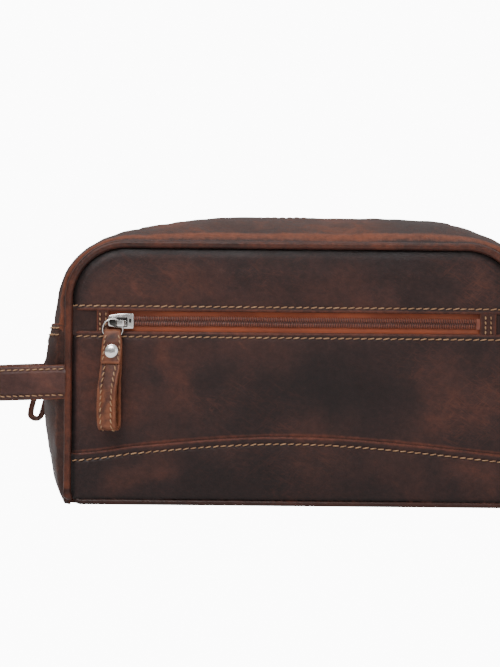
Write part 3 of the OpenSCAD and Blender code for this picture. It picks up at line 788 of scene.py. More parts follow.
def build_gusset_half(end, sign):
    """The strip beside the zip from an end up to the middle of the top."""
    side, half = who_is(end, sign)
    p, m = stations(95.0, -PAST_MIDDLE * end)
    if end < 0:
        m[:, 1] += slacker(-m[:, 0])
        m[:, 0] += waist(m[:, 1]) * (m[:, 0] < -110)
    y = np.r_[np.linspace(EDGE_Y, EDGE_Y + 4.6, 12), np.linspace(EDGE_Y + 5.6, GUSSET_Y - 6, 20),
              np.linspace(GUSSET_Y - 5, GUSSET_Y, 9)]
    g = gusset_point(p, m, y)
    # at the seam the leather turns down beside the piping
    inward, dip = unit(p - m)[:, None], 2.1 * step(4.2, 0.0, GUSSET_Y - y)
    g[..., 0] += inward[..., 0] * dip
    g[..., 2] += inward[..., 1] * dip
    g[..., 1] *= sign
    if end > 0:
        x, far = -g[..., 0], 1 - (y[None] / 49.0) ** 4
        g[..., 2] += fuller(x) * far * (1 - (1 - step(127, 106, x)) * step(22, 9, y[None]))
        g = g * [-1, 1, 1]
    g = face_out(g, g - [0, 0, 70.0])
    yy = np.abs(g[..., 1])
    fade = (step(0, 5, np.abs(yy - EDGE_Y)) * 0.85 + 0.15) * step(0, 5, GUSSET_Y - yy)
    n = normals(g)
    g = g + n * ((0.38 * GUSSET_WAVE(g) + 0.15 * GUSSET_FOLD(g * [1, 0.4, 1])) * fade)[..., None]
    # stitches beside the zip
    yy = np.abs(g[..., 1])
    row = int(np.argmin(np.abs(yy.mean(0) - (EDGE_Y + STITCH_IN))))
    thread = Piece()
    holes = stitches(thread, g[:, row], n[:, row], PITCH, 3.2, thick=0.66)
    along = lengths(g[:, row])[:, None] + 0 * yy
    g = g - n * pucker(along, yy - yy[:, row][:, None], holes, 0.26)[..., None]
    wear_and_shade = np.maximum(bell(GUSSET_Y - yy - 3.4, 2.3), 0.6 * bell(yy - EDGE_Y, 0.9))
    # painted shade: the tone falls dark in the seam groove beside the piping
    tone_shade_sheen = -1.6 * step(1.4, 0.3, GUSSET_Y - yy) + 0.25 * waves(93, 60)(g)
    middle = 0 if abs(g[0, 0, 0]) < abs(g[-1, 0, 0]) else -1
    who = f"{side}_{half}"
    for piece, name, look, slot, nodes in (
            (Piece().shell(g, 2.0, wear_and_shade, plain=middle, tone_shade_sheen=tone_shade_sheen), "gusset_", GUSSET, "leather_dark",
             ["zip_gusset_" + who, "flap_leather_" + half]),
            (thread, "gusset_thread_", THREAD, "leather_worn", [])):
        carry(piece.make(name + who, look, slot, None, nodes))


for end in (-1, 1):
    for sign in (-1, 1):
        build_gusset_half(end, sign)


def build_end_piece(end):
    """The leather of an end below the zip, with its folded top edge and two rows of stitches."""
    seam = 47.4
    z = np.r_[np.linspace(0.4, 10, 12), np.linspace(11.5, 86, 48), np.linspace(87, SIDE_TOP, 26)]
    y = np.linspace(-seam, seam, 110)
    g = gusset_point(xyz(-HALF_W, z), xyz(-HALF_W - side_out(z) - 0.9, z), y, lift=1.4)
    g[..., 0] += 2.2 * step(4.0, 0.0, seam - np.abs(y))[None]
    g = face_out(g * [-end, 1, 1], (end, 0, 0))
    n = normals(g)
    inside = seam - np.abs(g[..., 1])
    fade = step(0, 6, inside) * step(0, 14, SIDE_TOP - g[..., 2]) * step(0, 10, g[..., 2])
    g = g + n * ((0.75 * GUSSET_WAVE(g + 40) + 0.14 * GUSSET_FOLD(g)) * fade)[..., None]
    thread, drop, zz = Piece(), 0, g[..., 2]
    # the rows stop short of the seams by this many points
    short = 4
    for down in (1.9, 5.9):
        r = int(np.argmin(np.abs(zz.mean(1) - SIDE_TOP + down)))
        holes = stitches(thread, g[r, short:-short], n[r, short:-short], 4.0, 2.9)
        along = lengths(g[r])
        drop = drop + pucker(along[None] + 0 * zz, zz - zz[r].mean(), holes + along[short], 0.26)
    g = g - n * drop[..., None]
    inside = seam - np.abs(g[..., 1])
    wear_and_shade = np.maximum(0.8 * bell(SIDE_TOP - zz, 0.9), 0.5 * bell(inside - 4.5, 2.5))
    wear_and_shade = np.maximum(wear_and_shade, 0.5 * bell(zz, 5.0))
    side = who_is(end, 1)[0]
    Piece().shell(g, 2.0, wear_and_shade).make("end_" + side, GUSSET, "leather_dark", replaces=["side_gusset_" + side])
    thread.make("end_thread_" + side, THREAD, "leather_worn")


build_end_piece(-1)
build_end_piece(1)


def build_back():
    z = np.array(spread(1.8, HIGH - PANEL_IN, [HIGH - 4.0, 4.0], 2.6))[:, None] + np.zeros(150)
    x = np.linspace(-1, 1, 150) * half_width(z)
    d = seam_distance(x, z)
    y = (2.2 * panel_swell(x, z) + 0.5 * waves(31, 70)(xyz(x, 0, z))) * step(0, 16, d)
    y = y + 1.35 * step(-1.5, 3.2, d) - 1.35
    p, wear_and_shade = face_out(xyz(x, FACE_Y + y, z), (0, 1, 0), 0.35 * bell(d, 5.0))
    Piece().shell(p, 2.0, wear_and_shade).make("back", PANEL, "leather_dark", replaces=["back_panel"])


def build_base():
    """The gusset's flat run below, which rests on the floor with its middle and lifts towards its seams."""
    half_x, half_y = HALF_W - 1.5, 47.2
    x, y = mesh_of(np.linspace(-half_x, half_x, 90), np.linspace(-half_y, half_y, 44))
    e = np.minimum(half_x - np.abs(x), half_y - np.abs(y))
    swell = 0.25 * (1 + waves(32, 50)(xyz(x, y, 0))) * step(0, 12, e) * 0.5
    z = np.maximum(0.35 - 0.3 * step(3, 14, e) + swell + 0.9 * step(4, 0, e), 0.02)
    p = face_out(xyz(x, y, z), (0, 0, -1))
    Piece().shell(p, 1.9, 0.5 * step(8, 0, e)).make("base", GUSSET, "leather_dark", replaces=["base_gusset"])


build_back()
build_base()


# ---------------------------------------------------------------- zips
def tape_strip(centre, across, out, w0, w1):
    """A woven tape between distances w0 and w1 across from a line, with a ripple outside the coil."""
    w = np.linspace(w0, w1, 12)[None, :, None]
    ripple = 0.10 * np.cos(w * 2.6) * (np.abs(w) > 2.7)
    return Piece().shell(centre[:, None] + across[:, None] * w + out[:, None] * ripple, 0.55)


def coil_row(centre, tangent, across, out, side):
    """The loops of a row of nylon coil. Each starts at the tape, crosses the middle and bends back under."""
    pitch, half, wire = 1.3, 2.65, 0.40
    seg = lengths(centre)
    at = (np.arange(int(seg[-1] / pitch)) + (0.25 if side > 0 else 0.75)) * pitch
    c, t, ac, o = (sample(a, seg, at)[:, None] for a in (centre, tangent, across, out))
    # a loop's points, across and out, with the wire's width and its painted shade there, dark where the wire
    # runs back under
    loop = [(half, -0.40, 0.8, 0.9), (half - 0.1, 0.22, 0.95, 0.5), (half - 0.75, 0.62, 1.05, 0.0),
            (1.05, 0.60, 1.05, 0.0), (0.25, 0.10, 1.0, 0.75), (-0.22, -0.25, 0.9, 1.0),
            (0.05, -0.50, 0.9, 1.0), (0.8, -0.6, 0.8, 1.0)]
    w, h, wide, dark = (np.array(k)[:, None] for k in zip(*loop))
    path = c + ac * (side * w) + o * h + t * np.linspace(-0.40, 0.40, len(loop))[:, None]
    b = t + 0 * path
    u = unit(np.cross(unit(np.gradient(path, axis=1)), b))
    piece = Piece()
    for ring in rings(path, b, u, (wide * wire)[None, ..., None], 6):
        piece.grid(ring, dark, wrap_v=True)
    # the cord that the loops are sewn round
    cord = centre + across * (side * (half - 1.3)) - out * 0.12
    # painted shade: the cord is dark all over, under the loops
    return tube(cord, 0.9, 8, out, squash=0.45, wear_and_shade=1.0, piece=piece)


def front_zip():
    x = np.linspace(-103.0, 102.2, 240)
    c = xyz(x, -48.6 - 0.9 * (1 - (x / 130) ** 4), ZIP_Z + 0.12 * waves(41, 60)(xyz(x, 0, 0)))
    t, ac, o = (np.tile(d, (len(x), 1)) for d in ((1.0, 0, 0), (0, 0, 1.0), (0, -1.0, 0)))
    for side, who in ((1, "upper"), (-1, "lower")):
        tape = tape_strip(c + o * -0.65, ac, o, side * 0.35, side * 11.0)
        tape.make("front_tape_" + who, TAPE, "zip_tape", replaces=["front_zip_tape_" + who])
        coil = coil_row(c + o * 0.1, t, ac, o, side)
        coil.make("front_coil_" + who, COIL, "zip_coil", replaces=["front_zip_coil_" + who])


def zip_line(end):
    """The main zip's line from an end's hollow round the bend to the middle of the top, with its frames."""
    top, a = HIGH + CROWN, quarter(70)
    x = np.linspace(-BEND_X, -PAST_MIDDLE * end, 90)
    c = np.concatenate([xyz(-HALF_W, 0, np.linspace(95.5, BEND_Z, 14, endpoint=False)),
                        xyz(-BEND_X - BEND_R * np.cos(a), 0, BEND_Z + BEND_R * np.sin(a)),
                        xyz(x, 0, top - (top - BEND_Z - BEND_R) * (x / BEND_X) ** 2)])
    t = unit(np.gradient(c, axis=0))
    o = xyz(-t[:, 2], 0, t[:, 0])
    flip = [-end, 1, 1]
    c, t, o = c * flip, t * flip, o * flip
    x = end * c[:, 0]
    c[:, 2] += fuller(x) * step(127, 106, x) if end > 0 else slacker(x) * step(84, 58, x)
    return c, t, np.tile((0, 1.0, 0), (len(c), 1)), o


def main_zip():
    for end in (-1, 1):
        c, t, ac, o = zip_line(end)
        for sign in (-1, 1):
            side, half = who_is(end, sign)
            tape = tape_strip(c - o * 2.75, ac, o, sign * 0.35, sign * 9.2)
            coil = coil_row(c - o * 1.35, t, ac, o, sign)
            for piece, kind, look in ((tape, "tape", TAPE), (coil, "coil", COIL)):
                nodes = [f"main_{kind}_{side}_{half}", f"flap_{kind}_{half}"]
                carry(piece.make(f"main_{kind}_{side}_{half}_v", look, "zip_" + kind, None, nodes))


front_zip()
main_zip()


# ---------------------------------------------------------------- handle
def build_handle():
    """Two layers of strap, sewn together, from one seam of the left end round to the other."""
    legs, x0, xb = 49.0, -126.2, -147.0
    up = np.array([0, 0, 1.0])
    a = np.linspace(0, math.pi, 150)
    path = np.concatenate([xyz(np.linspace(x0, xb, 24, endpoint=False), -legs),
                           xyz(xb - legs * np.sin(a), -legs * np.cos(a)),
                           xyz(np.linspace(xb, x0, 25)[1:], legs)])
    run = lengths(path)
    out = -beside(path)
    c = xyz(path[:, 0], path[:, 1], 67.5 - 0.040 * (x0 - path[:, 0]))
    o = xyz(out[:, 0], out[:, 1], 0)
    wave = waves(51, 40)
    w = np.linspace(-1, 1, 41)
    edge = np.abs(w)
    half = (9.15 + 0.2 * step(x0, xb - 10, path[:, 0])) * (1 + 0.010 * wave(c))
    across = w[None] * half[:, None]
    puff = 1.45 * (1 - edge ** 9) + 0.55 * step(0.80, 0.55, edge) - 0.18 * bell(edge - 0.76, 0.09)
    wear_and_shade = 0.75 * edge ** 14 + 0.25 * bell(edge - 0.58, 0.08)
    row_at = 7.2
    thread, layers = Piece(), []
    for sgn in (1, -1):
        face = puff[None] + 0 * across
        for s in (-1, 1):
            line = c + up * (s * row_at) + o * sgn * 1.45
            holes = stitches(thread, line[1:-1], o[1:-1] * sgn, 3.6, 2.6, thick=0.75, slant=0.12 * s)
            face = face - pucker(run[:, None] + 0 * across, across - s * row_at, holes + run[1], 0.2)
        face = face + 0.10 * wave(c * 3)[:, None]
        p, q = (c[:, None] + up * across[..., None] + (o * sgn)[:, None] * d for d in (face[..., None], 0.02))
        piece = Piece().grid(p, wear_and_shade[None]).grid(q, 0.5)
        for e, bow in ((0, -0.25), (-1, 0.25)):
            piece.grid(np.stack([p[:, e], p[:, e] * 0.5 + q[:, e] * 0.5 + up * bow, q[:, e]], 1), 0.9)
            piece.grid(np.stack([p[e], q[e]]), 0.5)
        layers.append(piece)
    for piece, name, look, slot, nodes in (
            (layers[0], "outer", STRAP, "leather_dark",
             ["handle_outer", "handle_root_front", "handle_root_back"]),
            (layers[1], "lining", STRAP, "leather_lining", ["handle_lining"]),
            (thread, "thread", THREAD, "leather_worn", [])):
        ob = piece.make("strap_" + name, look, slot, None, nodes)
        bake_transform(ob)


build_handle()


# ---------------------------------------------------------------- sliders, rings and pulls
def prism(piece, loop, y0, y1, bevel, place, wear_and_shade=0.0):
    """A plate with bevelled rims, from y0 (outside) to y1. loop is a convex loop of (x, z) points."""
    c = loop.mean(0)
    d = np.linalg.norm(loop - c, axis=1, keepdims=True)
    inner, mid = (c + (loop - c) * (1 - k * bevel / d) for k in (1, 0.3))
    rows = [(inner, y0), (mid, y0 + 0.3 * bevel), (loop, y0 + bevel),
            (loop, y1 - bevel), (mid, y1 - 0.3 * bevel), (inner, y1)]
    g = np.stack([xyz(r[:, 0], y, r[:, 1]) for r, y in rows])
    piece.grid(place(g), wear_and_shade, wrap_v=True).fan(place(g[0]), wear_and_shade, flip=True).fan(place(g[-1]), wear_and_shade)


def slider(place, back, bx, bz, rise):
    """A zip slider: x along the zip, y depth below the leather's face, z across. bx, bz: its bridge."""
    piece = Piece()
    top = rounded([(7.0, 4.1), (7.0, -4.1), (-0.5, -4.1), (-6.6, -3.0), (-7.0, -1.2), (-7.0, 1.2),
                   (-6.6, 3.0), (-0.5, 4.1)], [0.5, 0.5, 1.5, 0.8, 0.5, 0.5, 0.8, 1.5])
    shadow_plate = rounded([(-6.3, bz - 0.9), (-2.2, bz - 2.2), (bx + 3.6, bz - 2.3), (bx + 3.6, bz + 3.3),
                   (-2.2, bz + 3.3), (-6.3, bz + 2.6)], 1.0)
    shadow_stripe = rounded([(4.6, -0.9), (5.9, -0.9), (5.9, 1.3), (4.6, 1.3)], 0.2)
    prism(piece, top, -1.45, -0.15, 0.28, place)
    # painted shadow: a black plate round the bridge and down the ring's side, and a thin black stripe near
    # the bridge's rear foot
    prism(piece, shadow_plate[::-1], -1.52, -1.2, 0.06, place, wear_and_shade=1.0)
    prism(piece, shadow_stripe[::-1], -1.50, -1.2, 0.04, place, wear_and_shade=1.0)
    prism(piece, top * [0.99, 1.0], back, back + 1.0, 0.25, place)
    for s in (-1, 1):
        for rim in ([(6.8, s * 3.35), (6.8, s * 4.05), (-0.4, s * 4.05), (-0.4, s * 3.35)],
                    [(-0.2, s * 3.35), (-0.2, s * 4.05), (-6.3, s * 2.95), (-6.3, s * 2.35)]):
            prism(piece, rounded(rim, 0.2), -0.4, 1.3, 0.12, place)
    wedge = rounded([(-2.6, 0.45), (-2.6, -0.45), (-5.6, -0.25), (-5.6, 0.25)], 0.15)
    prism(piece, wedge, -0.3, back + 0.2, 0.08, place)
    # the bridge: a flat band that rises from the plate, bends over the ring and comes down again
    c, s = np.cos(np.linspace(0, math.pi, 48)), np.sin(np.linspace(0, math.pi, 48))
    path = np.stack([bx - 2.35 * np.sign(c) * np.abs(c) ** 0.55, -1.2 - (rise + 0.7) * np.abs(s) ** 0.55], 1)
    section = rounded([(-1, -1), (1, -1), (1, 1), (-1, 1)], 0.5, 4)
    at = path[:, None] - beside(path)[:, None] * section[None, :, 1:] * 0.42
    wide = (1.75 - 0.55 * c ** 2)[:, None]
    band = place(xyz(at[..., 0], at[..., 1], bz + section[:, 0] * wide))
    # painted shade: the band darkens towards its feet on the plate
    piece.grid(band, 0.75 * np.abs(c[:, None]) ** 3, wrap_v=True)
    for s in (-1, 1):
        foot = rounded([(bx + s * 2.9, bz - 1.5), (bx + s * 2.9, bz + 1.5), (bx + s * 1.6, bz + 1.5),
                        (bx + s * 1.6, bz - 1.5)], 0.5)
        prism(piece, foot if s < 0 else foot[::-1], -1.9, -1.3, 0.22, place)
    return piece


def split_ring(place):
    """Two turns of wire, side by side, whose ends lap past each other. The ring is in the xz plane."""
    a = np.linspace(0.15, 4 * math.pi - 0.35, 190)
    r = 5.5 + 0.10 * np.cos(a * 0.5)
    path = xyz(r * np.sin(a), 0.36 * np.tanh((a - 2 * math.pi) * 1.6), r * np.cos(a))
    return tube(place(path), 0.37, 10, place(np.array([0, -1.0, 0])) - place(np.zeros(3)))


def pull(tag, place, body, twist, seed, longer=0.0, proud=0.75, nearer=0.0, leaf=1.16):
    """A leather pull: a doubled strip bent into a loop, a flap over its ends that holds the ring, a rivet."""
    # b and f: how far out the strip's back leg and the flap's front lie; rivet_v: the rivet's place down
    b, f, rivet_v = -2.6, -2.6 + 5.2, 12.1
    wave, fine = waves(seed, 18), waves(seed + 1, 5)
    thread = Piece()

    def bend(p):
        """Turns the pull a little about its left back edge further down, as it hangs."""
        p = p + xyz(0, nearer * step(14, 42, -p[..., 2]), -longer * step(20, 54, -p[..., 2]))
        v = -p[..., 2]
        a = math.radians(twist) * step(4, 34, v)
        x, y = p[..., 0] + 5.25, p[..., 1] + b
        slip = 0.012 * np.clip(v - 4, 0, None) * (twist != 0)
        return place(xyz(x * np.cos(a) + y * np.sin(a) - 5.25 + slip, -x * np.sin(a) + y * np.cos(a) - b, -v))

    def lay(line, x, d):
        """Points off a line of (outward, down) places: x across, and d along the line's own normals."""
        n = beside(line)
        return xyz(x, -(line[:, :1] + n[:, :1] * d), -(line[:, 1:] + n[:, 1:] * d))

    def loop():
        """The strip, from the front leg's top round the bottom and up the back leg: (outward, down)."""
        line = smooth_path([(b + 3.9, 7.6), (b + 3.95, 19), (b + 7.9, 37), (b + 8.2, 50.4), (b + 7.3, 53.7),
                            (b + 4.7, 54.6), (b + 2.1, 53.6), (b + 1.3, 50.4), (b + 1.3, 24),
                            (b + 1.3, 7.6)], 150)
        w = np.linspace(-1, 1, 25)[None]
        x = w * (5.25 - 0.25 * step(12, 4, line[:, 1]))[:, None]
        run = lengths(line)
        row_at, keep = 3.1, slice(14, -14)
        strip = Piece()
        for sgn in (1, -1):
            drop = 0 * x
            for s in (-1, 1):
                row, tip = (bend(lay(line, s * row_at, sgn * d)[keep, 0]) for d in (1.22, 2.22))
                holes = stitches(thread, row, tip - row, 3.3, 2.5, thick=proud, slant=0.30 * s, sink=0.14)
                drop = drop + pucker(run[:, None] + 0 * x, x - s * row_at, holes + run[keep][0], 0.2)
            p = lay(line, x, sgn * (leaf + 0.12 * (1 - w ** 4) - drop))
            p = p + 0.06 * fine(p)[..., None]
            ends = 0.3 * step(0.6, 1.0, np.abs(np.sin(np.pi * run / run[-1])))[:, None] ** 4
            wear_and_shade = 0.35 + 0.6 * np.abs(w) ** 10 + 0.45 * np.abs(wave(p)) + ends
            pw, qw = bend(p), bend(lay(line, x, sgn * 0.03))
            strip.grid(pw, wear_and_shade, tone_shade_sheen=0.35 * wave(p * 0.6 + 30)).grid(qw, 0.6)
            for e, inner in ((0, 1), (-1, -2)):
                f, q = pw[:, e], qw[:, e]
                o = unit(f - pw[:, inner]) * 0.22
                rim = [f, f * 0.8 + q * 0.2 + o * 0.7, f * 0.5 + q * 0.5 + o, f * 0.2 + q * 0.8 + o * 0.7, q]
                strip.grid(np.stack(rim, 1), 0.95 if twist else 0.4).grid(np.stack([pw[e], qw[e]]), 1.0)
        strip.make(f"{tag}_pull_loop", PULL, "leather_worn", body, [f"{tag}_pull_strip"])

    def flap():
        """It goes from behind the loop's ends up round the ring and down over the front."""
        line = smooth_path([(-1.3, 8.4), (-1.55, 5.0), (-1.6, 2.2), (-0.9, 0.95), (0.1, 0.85), (1.1, 1.1),
                            (2.0, 2.6), (f + 0.55, 6.6), (f + 0.72, 9), (f + 0.72, 14), (f + 0.75, 18.7)], 90)
        outward, v = line[:, :1], line[:, 1:]
        low = v.max()
        half = 4.25 + 0.95 * step(1.0, 9.0, v) - 0.25 * (step(low - 1.2, low, v) * (outward > 0)) ** 2
        w = np.linspace(-1, 1, 33)[None]
        x = w * half
        row_x = half - 0.95
        front = (outward > 1.5) & (v > 3.0) & (v < low - 0.9)
        puff = 0.62 + 0.16 * (1 - w ** 6) - 0.16 * bell(np.abs(x) - row_x, 0.5) * front
        puff = puff - 0.35 * bell(x, 4.3) * bell(v - rivet_v, 4.3) * (outward > 1)
        for s in (-1, 1):
            row, tip = (bend(lay(line, s * row_x, d)[front[:, 0], 0]) for d in (0.68, 1.68))
            stitches(thread, row, tip - row, 3.0, 2.2, thick=min(proud, 0.66), slant=0.25 * s, sink=0.10)
        thread.make(f"{tag}_pull_thread", THREAD, "leather_worn", body)
        p = lay(line, x, puff)
        p = p + 0.05 * fine(p)[..., None]
        pw = bend(p)
        wear_and_shade = 0.30 + 0.7 * np.abs(w) ** 8 + 0.5 * np.abs(wave(p)) + 0.7 * bell(v - 1.2, 1.8)
        wear_and_shade = wear_and_shade + 0.6 * bell(v - low, 0.8) * (outward > 1)
        if (normals(pw)[-12:, 16] * (pw - bend(lay(line, x, 0)))[-12:, 16]).sum() < 0:
            pw, wear_and_shade = pw[:, ::-1], wear_and_shade[:, ::-1]
        wrap = Piece().shell(pw, 1.25, wear_and_shade, 0.6)
        wrap.make(f"{tag}_pull_wrap", PULL, "leather_worn", body, [f"{tag}_pull_flap"])

    def rivet():
        """A domed cap with a thin rim, its stem, and its washer behind."""
        base = f + 1.30
        cap = smooth_path([(0.0, 1.30), (1.2, 1.26), (2.3, 1.02), (3.05, 0.62), (3.3, 0.40), (3.62, 0.36),
                           (3.7, 0.12), (3.6, -0.1)], 26, 2) + [0, base]
        stem = [(1.1, base), (1.1, b - 0.2)]
        washer = [(0.01, b - 0.25), (2.6, b - 0.22), (2.8, b - 0.05), (2.7, b + 0.1)]
        piece = Piece()
        for profile in (cap, stem, washer):
            r, out = np.array(profile).T[..., None]
            a = circle(48)
            piece.grid(bend(xyz(r * np.cos(a), -out, r * np.sin(a) - rivet_v)), wrap_v=True)
        piece.make(f"{tag}_rivet", NICKEL, "nickel", body, [f"{tag}_pull_rivet"])

    loop()
    flap()
    rivet()


# the rings' centres at rest, the front slider's place, and how much the main ring and the main slider lean
FRONT_RING, MAIN_RING, FRONT_SLIDER = (-100.4, -54.2, 96.8), (-131.932, 0.0, 101.436), (-96.1, -FACE_Y, ZIP_Z)
RING_LEAN, SLIDER_LEAN = math.radians(14.347), math.radians(2)


def hardware():

    def at_front_ring(p):
        """From a pull's own frame (across, inward, up from the ring's centre) to the bag's, at the front."""
        return p + np.array(FRONT_RING)

    def at_main_ring(p):
        """The same for the main zip's ring, which leans in the hollow of the end."""
        x, z = p[..., 1], p[..., 2]
        c, s = math.cos(RING_LEAN), math.sin(RING_LEAN)
        return xyz(x * c + z * s + MAIN_RING[0], -p[..., 0], -x * s + z * c + MAIN_RING[2])

    def at_front(p):
        return p + np.array(FRONT_SLIDER)

    def at_end(p):
        """From a slider's frame to the main slider's place, at the bend's foot."""
        x, z = p[..., 1] - BEND_R, p[..., 0]
        c, s = math.cos(SLIDER_LEAN), math.sin(SLIDER_LEAN)
        return xyz(x * c + z * s - BEND_X, p[..., 2], -x * s + z * c + BEND_Z)

    for tag, at_slider, shape, at_ring, hang in (
            ("front", at_front, (2.9, 0.205, -1.245, 4.2), at_front_ring, {"twist": 20.0, "seed": 61}),
            ("main", at_end, (4.1, -2.0, 0.0, 3.53), at_main_ring,
             {"twist": 0.0, "seed": 71, "longer": 3.6, "proud": 0.4, "nearer": 1.3, "leaf": 1.3})):
        zip_body = tag + "_zip_"
        body = slider(at_slider, *shape)
        body.make(tag + "_slider", NICKEL, "nickel", zip_body + "slider", [tag + "_slider_body"], 32)
        ring = split_ring(at_ring)
        ring.make(tag + "_split_ring", NICKEL, "nickel", zip_body + "ring", [tag + "_ring"])
        pull(tag, at_ring, zip_body + "pull", **hang)


hardware()


# ---------------------------------------------------------------- ends of the front zip
def front_ends():
    """At each end of the front zip: a stitched tab over the tapes, and a strip beyond it. Then the stop."""
    thread = Piece()
    row_z = 5.9
    z = np.linspace(EDGE_LOW - 1.5, EDGE_UP + 1.5, 46)
    for side, tab, rows, strip in (("left", (-109.2, -102.9), (-107.5, -104.3), (-124.0, -108.0)),
                                   ("right", (101.6, 110.2), (104.4, 107.4), (109.0, 124.0))):
        x0, x1 = tab
        X, Z = mesh_of(np.linspace(x0, x1, 26), z)
        y = 49.75 + relief(X, Z) * 0.75 + 0.25 * (1 - ((X - (x0 + x1) / 2) / (x1 - x0) * 2) ** 6)
        for c in rows:
            h = np.linspace(ZIP_Z - row_z, ZIP_Z + row_z, 40)
            line = xyz(c, -(49.75 + relief(c, h) * 0.75 + 0.25), h)
            holes = stitches(thread, line, (0, -1, 0), 2.7, 1.75, thick=0.8, slant=0.12)
            y = y - pucker(Z - (ZIP_Z - row_z), X - c, holes, 0.28)
        wear_and_shade = 0.2 + 0.6 * bell(np.minimum(X - x0, x1 - X), 0.7)
        p, wear_and_shade = face_out(xyz(X, -y, Z), (0, -1, 0), wear_and_shade)
        tab_piece = Piece().shell(p, 1.3, wear_and_shade, tone_shade_sheen=0.35)
        tab_piece.make("front_tab_" + side, PIPING, "leather_worn", replaces=["front_zip_tab_" + side])
        X, Z = mesh_of(np.linspace(*strip, 26), z)
        y = 49.0 + relief(X, Z) * 0.25 + 0.2 * waves(80, 11)(xyz(X, 0, Z))
        strip_piece = Piece().shell(face_out(xyz(X, -y, Z), (0, -1, 0)), 1.0, 0.05, tone_shade_sheen=-0.35)
        strip_piece.make("front_strip_" + side, PIPING, "leather_worn", replaces=["front_end_strip_" + side])
    thread.make("front_tab_thread", THREAD, "leather_worn")
    stop = Piece()
    clip = rounded([(99.4, 98.2), (101.4, 98.2), (101.4, 104.2), (99.4, 104.2)], 0.5)
    prism(stop, clip, -50.6, -49.0, 0.25, lambda g: g)
    stop.make("front_stop", COIL, "zip_coil", replaces=["front_zip_stop"], sharp=32)


front_ends()


# ---------------------------------------------------------------- inside
ROOM_WAVE, ROOM_FOLD = waves(101, 44), waves(102, 13)


def room():
    """The main room's cloth lining: walls with rounded corners and a turned-over top, and the bottom."""
    piece = Piece()
    front, back, half_x, bottom, top = -39.9, 45.6, 118.6, 3.9, 110.0
    ring = rounded([(half_x, back), (-half_x, back), (-half_x, front), (half_x, front)], 9.0, 12)
    ring = np.vstack([np.linspace(a, b, 26, endpoint=False) if np.linalg.norm(a - b) > 30 else a[None]
                      for a, b in zip(ring, np.roll(ring, -1, 0))])
    z = np.r_[np.linspace(bottom, bottom + 8, 9), np.linspace(bottom + 11, top, 38)][:, None]
    d = unit(ring - [0, (front + back) / 2])
    inset = 4.0 * (1 - step(0, 8, z - bottom)) ** 2
    g = xyz(ring[:, 0] - d[:, 0] * inset, ring[:, 1] - d[:, 1] * inset, z)
    g = np.concatenate([g, g[:, :1]], 1)
    n = normals(g)
    inward = np.sign(((np.array([0, 3, 60.0]) - g) * n).sum(-1).mean())
    slack = (0.8 * ROOM_WAVE(g) + 0.25 * ROOM_FOLD(g * [1, 1, 0.4]) + 0.9) * inward
    slack = slack * (0.35 + 0.65 * bell(z - 60, 45))
    slack[:, -1] = slack[:, 0]
    g = (g + n * slack[..., None] * 0.8)[:, :-1]
    piece.grid(g, wrap_v=True)
    outer = g[-1] + xyz(d[:, 0] * 0.7, d[:, 1] * 0.7, 0)
    ridge = g[-1] * 0.5 + outer * 0.5 + [0, 0, 0.35]
    piece.grid(np.stack([g[-1], ridge, outer, outer - [0, 0, 5.0]]), wrap_v=True)
    x0, y0, y1 = half_x - 2, front + 2, back - 2
    x, y = mesh_of(np.linspace(-x0, x0, 60), np.linspace(y0, y1, 26))
    p = xyz(x, y, bottom + 0.55)
    edge = np.minimum(x0 - np.abs(x), np.minimum(y - y0, y1 - y))
    p[..., 2] += 0.30 * (1 + ROOM_WAVE(p)) * step(0, 8, edge)
    piece.grid(face_out(p, (0, 0, 1.0)))
    piece.make("lining_room", CLOTH, "lining_cloth", replaces=["main_lining"])


def pocket():
    """The front pocket: two cloth walls joined round their edges, open at the zip."""
    piece = Piece()
    half_x, foot, top, front, back, mouth = 111.6, 12.6, 112.8, -47.25, -40.85, 93.6
    x, z = np.linspace(-half_x, half_x, 110), np.linspace(foot, top, 52)
    X, Z = mesh_of(x, z)
    e = step(0, 7, np.minimum(half_x - np.abs(X), Z - foot))
    for y0, s in ((front, 1), (back, -1)):
        p = xyz(X, y0 + s * (0.35 + 0.28 * ROOM_WAVE(xyz(X, y0, Z))) * e, Z)
        piece.grid(face_out(p[:, z < mouth] if s > 0 else p, (0, s, 0.0)))
    y = np.linspace(front, back, 8)
    for s in (-1, 1):
        piece.grid(xyz(s * half_x, y, z[:, None]))
    for height in (foot, top):
        piece.grid(xyz(x[:, None], y, height))
    piece.make("lining_pocket", CLOTH, "lining_cloth", replaces=["front_pocket_bag"])


def flap_lining(sign, who):
    """The lining under a flap, between the zip and the seam."""
    x0, x1, y0, y1 = -55.0, 77.0, 9.6, 41.6
    x, y = mesh_of(np.linspace(x0, x1, 96), np.r_[np.linspace(y0, y0 + 2.8, 5), np.linspace(y0 + 4, y1, 26)])
    z = HIGH + np.minimum(CROWN * (1 - (y / 48) ** 2), CROWN - TOP_FALL * (x / TOP_HALF) ** 2) - 3.75
    p = xyz(x, sign * y, z)
    edge = step(0, 7, np.minimum(np.minimum(x - x0, x1 - x), np.minimum(y - y0, y1 - y)))
    p[..., 2] += 0.25 * (ROOM_WAVE(p) - 0.6) * edge
    piece = Piece().shell(face_out(p, (0, 0, -1.0)), 0.5)
    piece.make("lining_flap_" + who, CLOTH, "lining_cloth", who + "_flap", ["flap_lining_" + who])


def base_board():
    x, y = mesh_of(np.linspace(-118.6, 118.6, 40), np.linspace(-44.2, 44.2, 18))
    p = xyz(x, y, 4.0 - 0.1 * (1 + ROOM_FOLD(xyz(x, y, 0))))
    Piece().shell(face_out(p, (0, 0, 1.0)), 1.7).make("stiff_base", BOARD, "board", replaces=["base_board"])


room()
pocket()
flap_lining(-1, "front")
flap_lining(1, "back")
base_board()


# ---------------------------------------------------------------- stage
def add_object(name, data):
    ob = bpy.data.objects.new(name, data)
    bpy.context.scene.collection.objects.link(ob)
    return ob


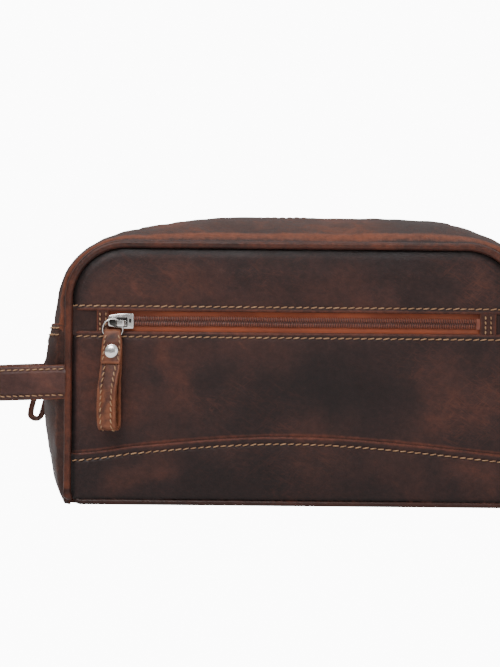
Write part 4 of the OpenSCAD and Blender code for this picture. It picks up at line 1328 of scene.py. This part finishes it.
def light(name, loc, aim, size, power):
    """A rectangular soft light at loc, turned to aim. size is its width and height."""
    d = bpy.data.lights.new(name, "AREA")
    d.shape = "RECTANGLE"
    d.size, d.size_y = size
    d.energy = power
    ob = add_object(name, d)
    ob.location = loc
    ob.rotation_euler = (Vector(aim) - Vector(loc)).to_track_quat("-Z", "Y").to_euler()


def build_floor():
    """A pale floor that the camera sees as white, and that still takes soft shadows."""
    me = bpy.data.meshes.new("floor")
    s, z = 6.0, -0.0004
    me.from_pydata([(-s, -s, z), (s, -s, z), (s, s, z), (-s, s, z)], [], [(0, 1, 2, 3)])
    m, t, bsdf = shader("floor")
    tone = t.mix(t.noise(t.coords(), 8.0, 2.0, 0.5), (0.93, 0.93, 0.93), (0.95, 0.95, 0.95))
    t.feed(bsdf, {"Base Color": tone, "Roughness": 0.9})
    glow = t.node("Emission", {"Strength": 12.0}).outputs[0]
    seen = t.node("LightPath").outputs["Is Camera Ray"]
    both = t.node("MixShader", {0: t.mul(seen, 0.93), 1: bsdf.outputs[0], 2: glow})
    t.feed(t.tree.nodes["Material Output"], {0: both.outputs[0]})
    me.materials.append(m)
    add_object("floor", me)


def build_world():
    """Soft light that grows towards the sky, with white behind for the camera."""
    world = bpy.data.worlds.new("world")
    world.use_nodes = True
    t = Nodes(world.node_tree)
    bg = t.tree.nodes["Background"]
    up = t.node("SeparateXYZ", {0: t.node("TexCoord").outputs["Generated"]}).outputs["Z"]
    t.feed(bg, {0: (1, 1, 1, 1), 1: t.remap(up, -0.05, 0.85, 0.16, 0.95)})
    white = t.node("Background", {"Strength": 14.0}).outputs[0]
    seen = t.node("LightPath").outputs["Is Camera Ray"]
    both = t.node("MixShader", {0: seen, 1: bg.outputs[0], 2: white})
    t.feed(t.tree.nodes["World Output"], {0: both.outputs[0]})
    bpy.context.scene.world = world


def build_camera():
    """Straight in front, a little above the bag's middle. field is the width seen at the front of the bag."""
    distance, field, sensor = 1.40, 0.275, 36.0
    cam = bpy.data.cameras.new("camera")
    cam.sensor_fit = "HORIZONTAL"
    cam.sensor_width = sensor
    cam.lens = sensor * distance / field
    cam.clip_end = 50
    ob = add_object("camera", cam)
    ob.location = (-0.025, -FACE_Y * MM - distance, 0.095)
    ob.rotation_euler = (math.pi / 2, math.radians(-0.55), 0)
    bpy.context.scene.camera = ob


build_floor()
build_world()
light("key", (-0.35, -0.85, 0.95), (0, 0, 0.10), (0.7, 0.5), 14.0)
light("top", (0.1, 0.05, 1.2), (0, 0, 0.12), (0.6, 0.6), 3.0)
light("fill", (0.9, -1.1, 0.35), (0, 0, 0.08), (0.8, 0.8), 3.0)
build_camera()
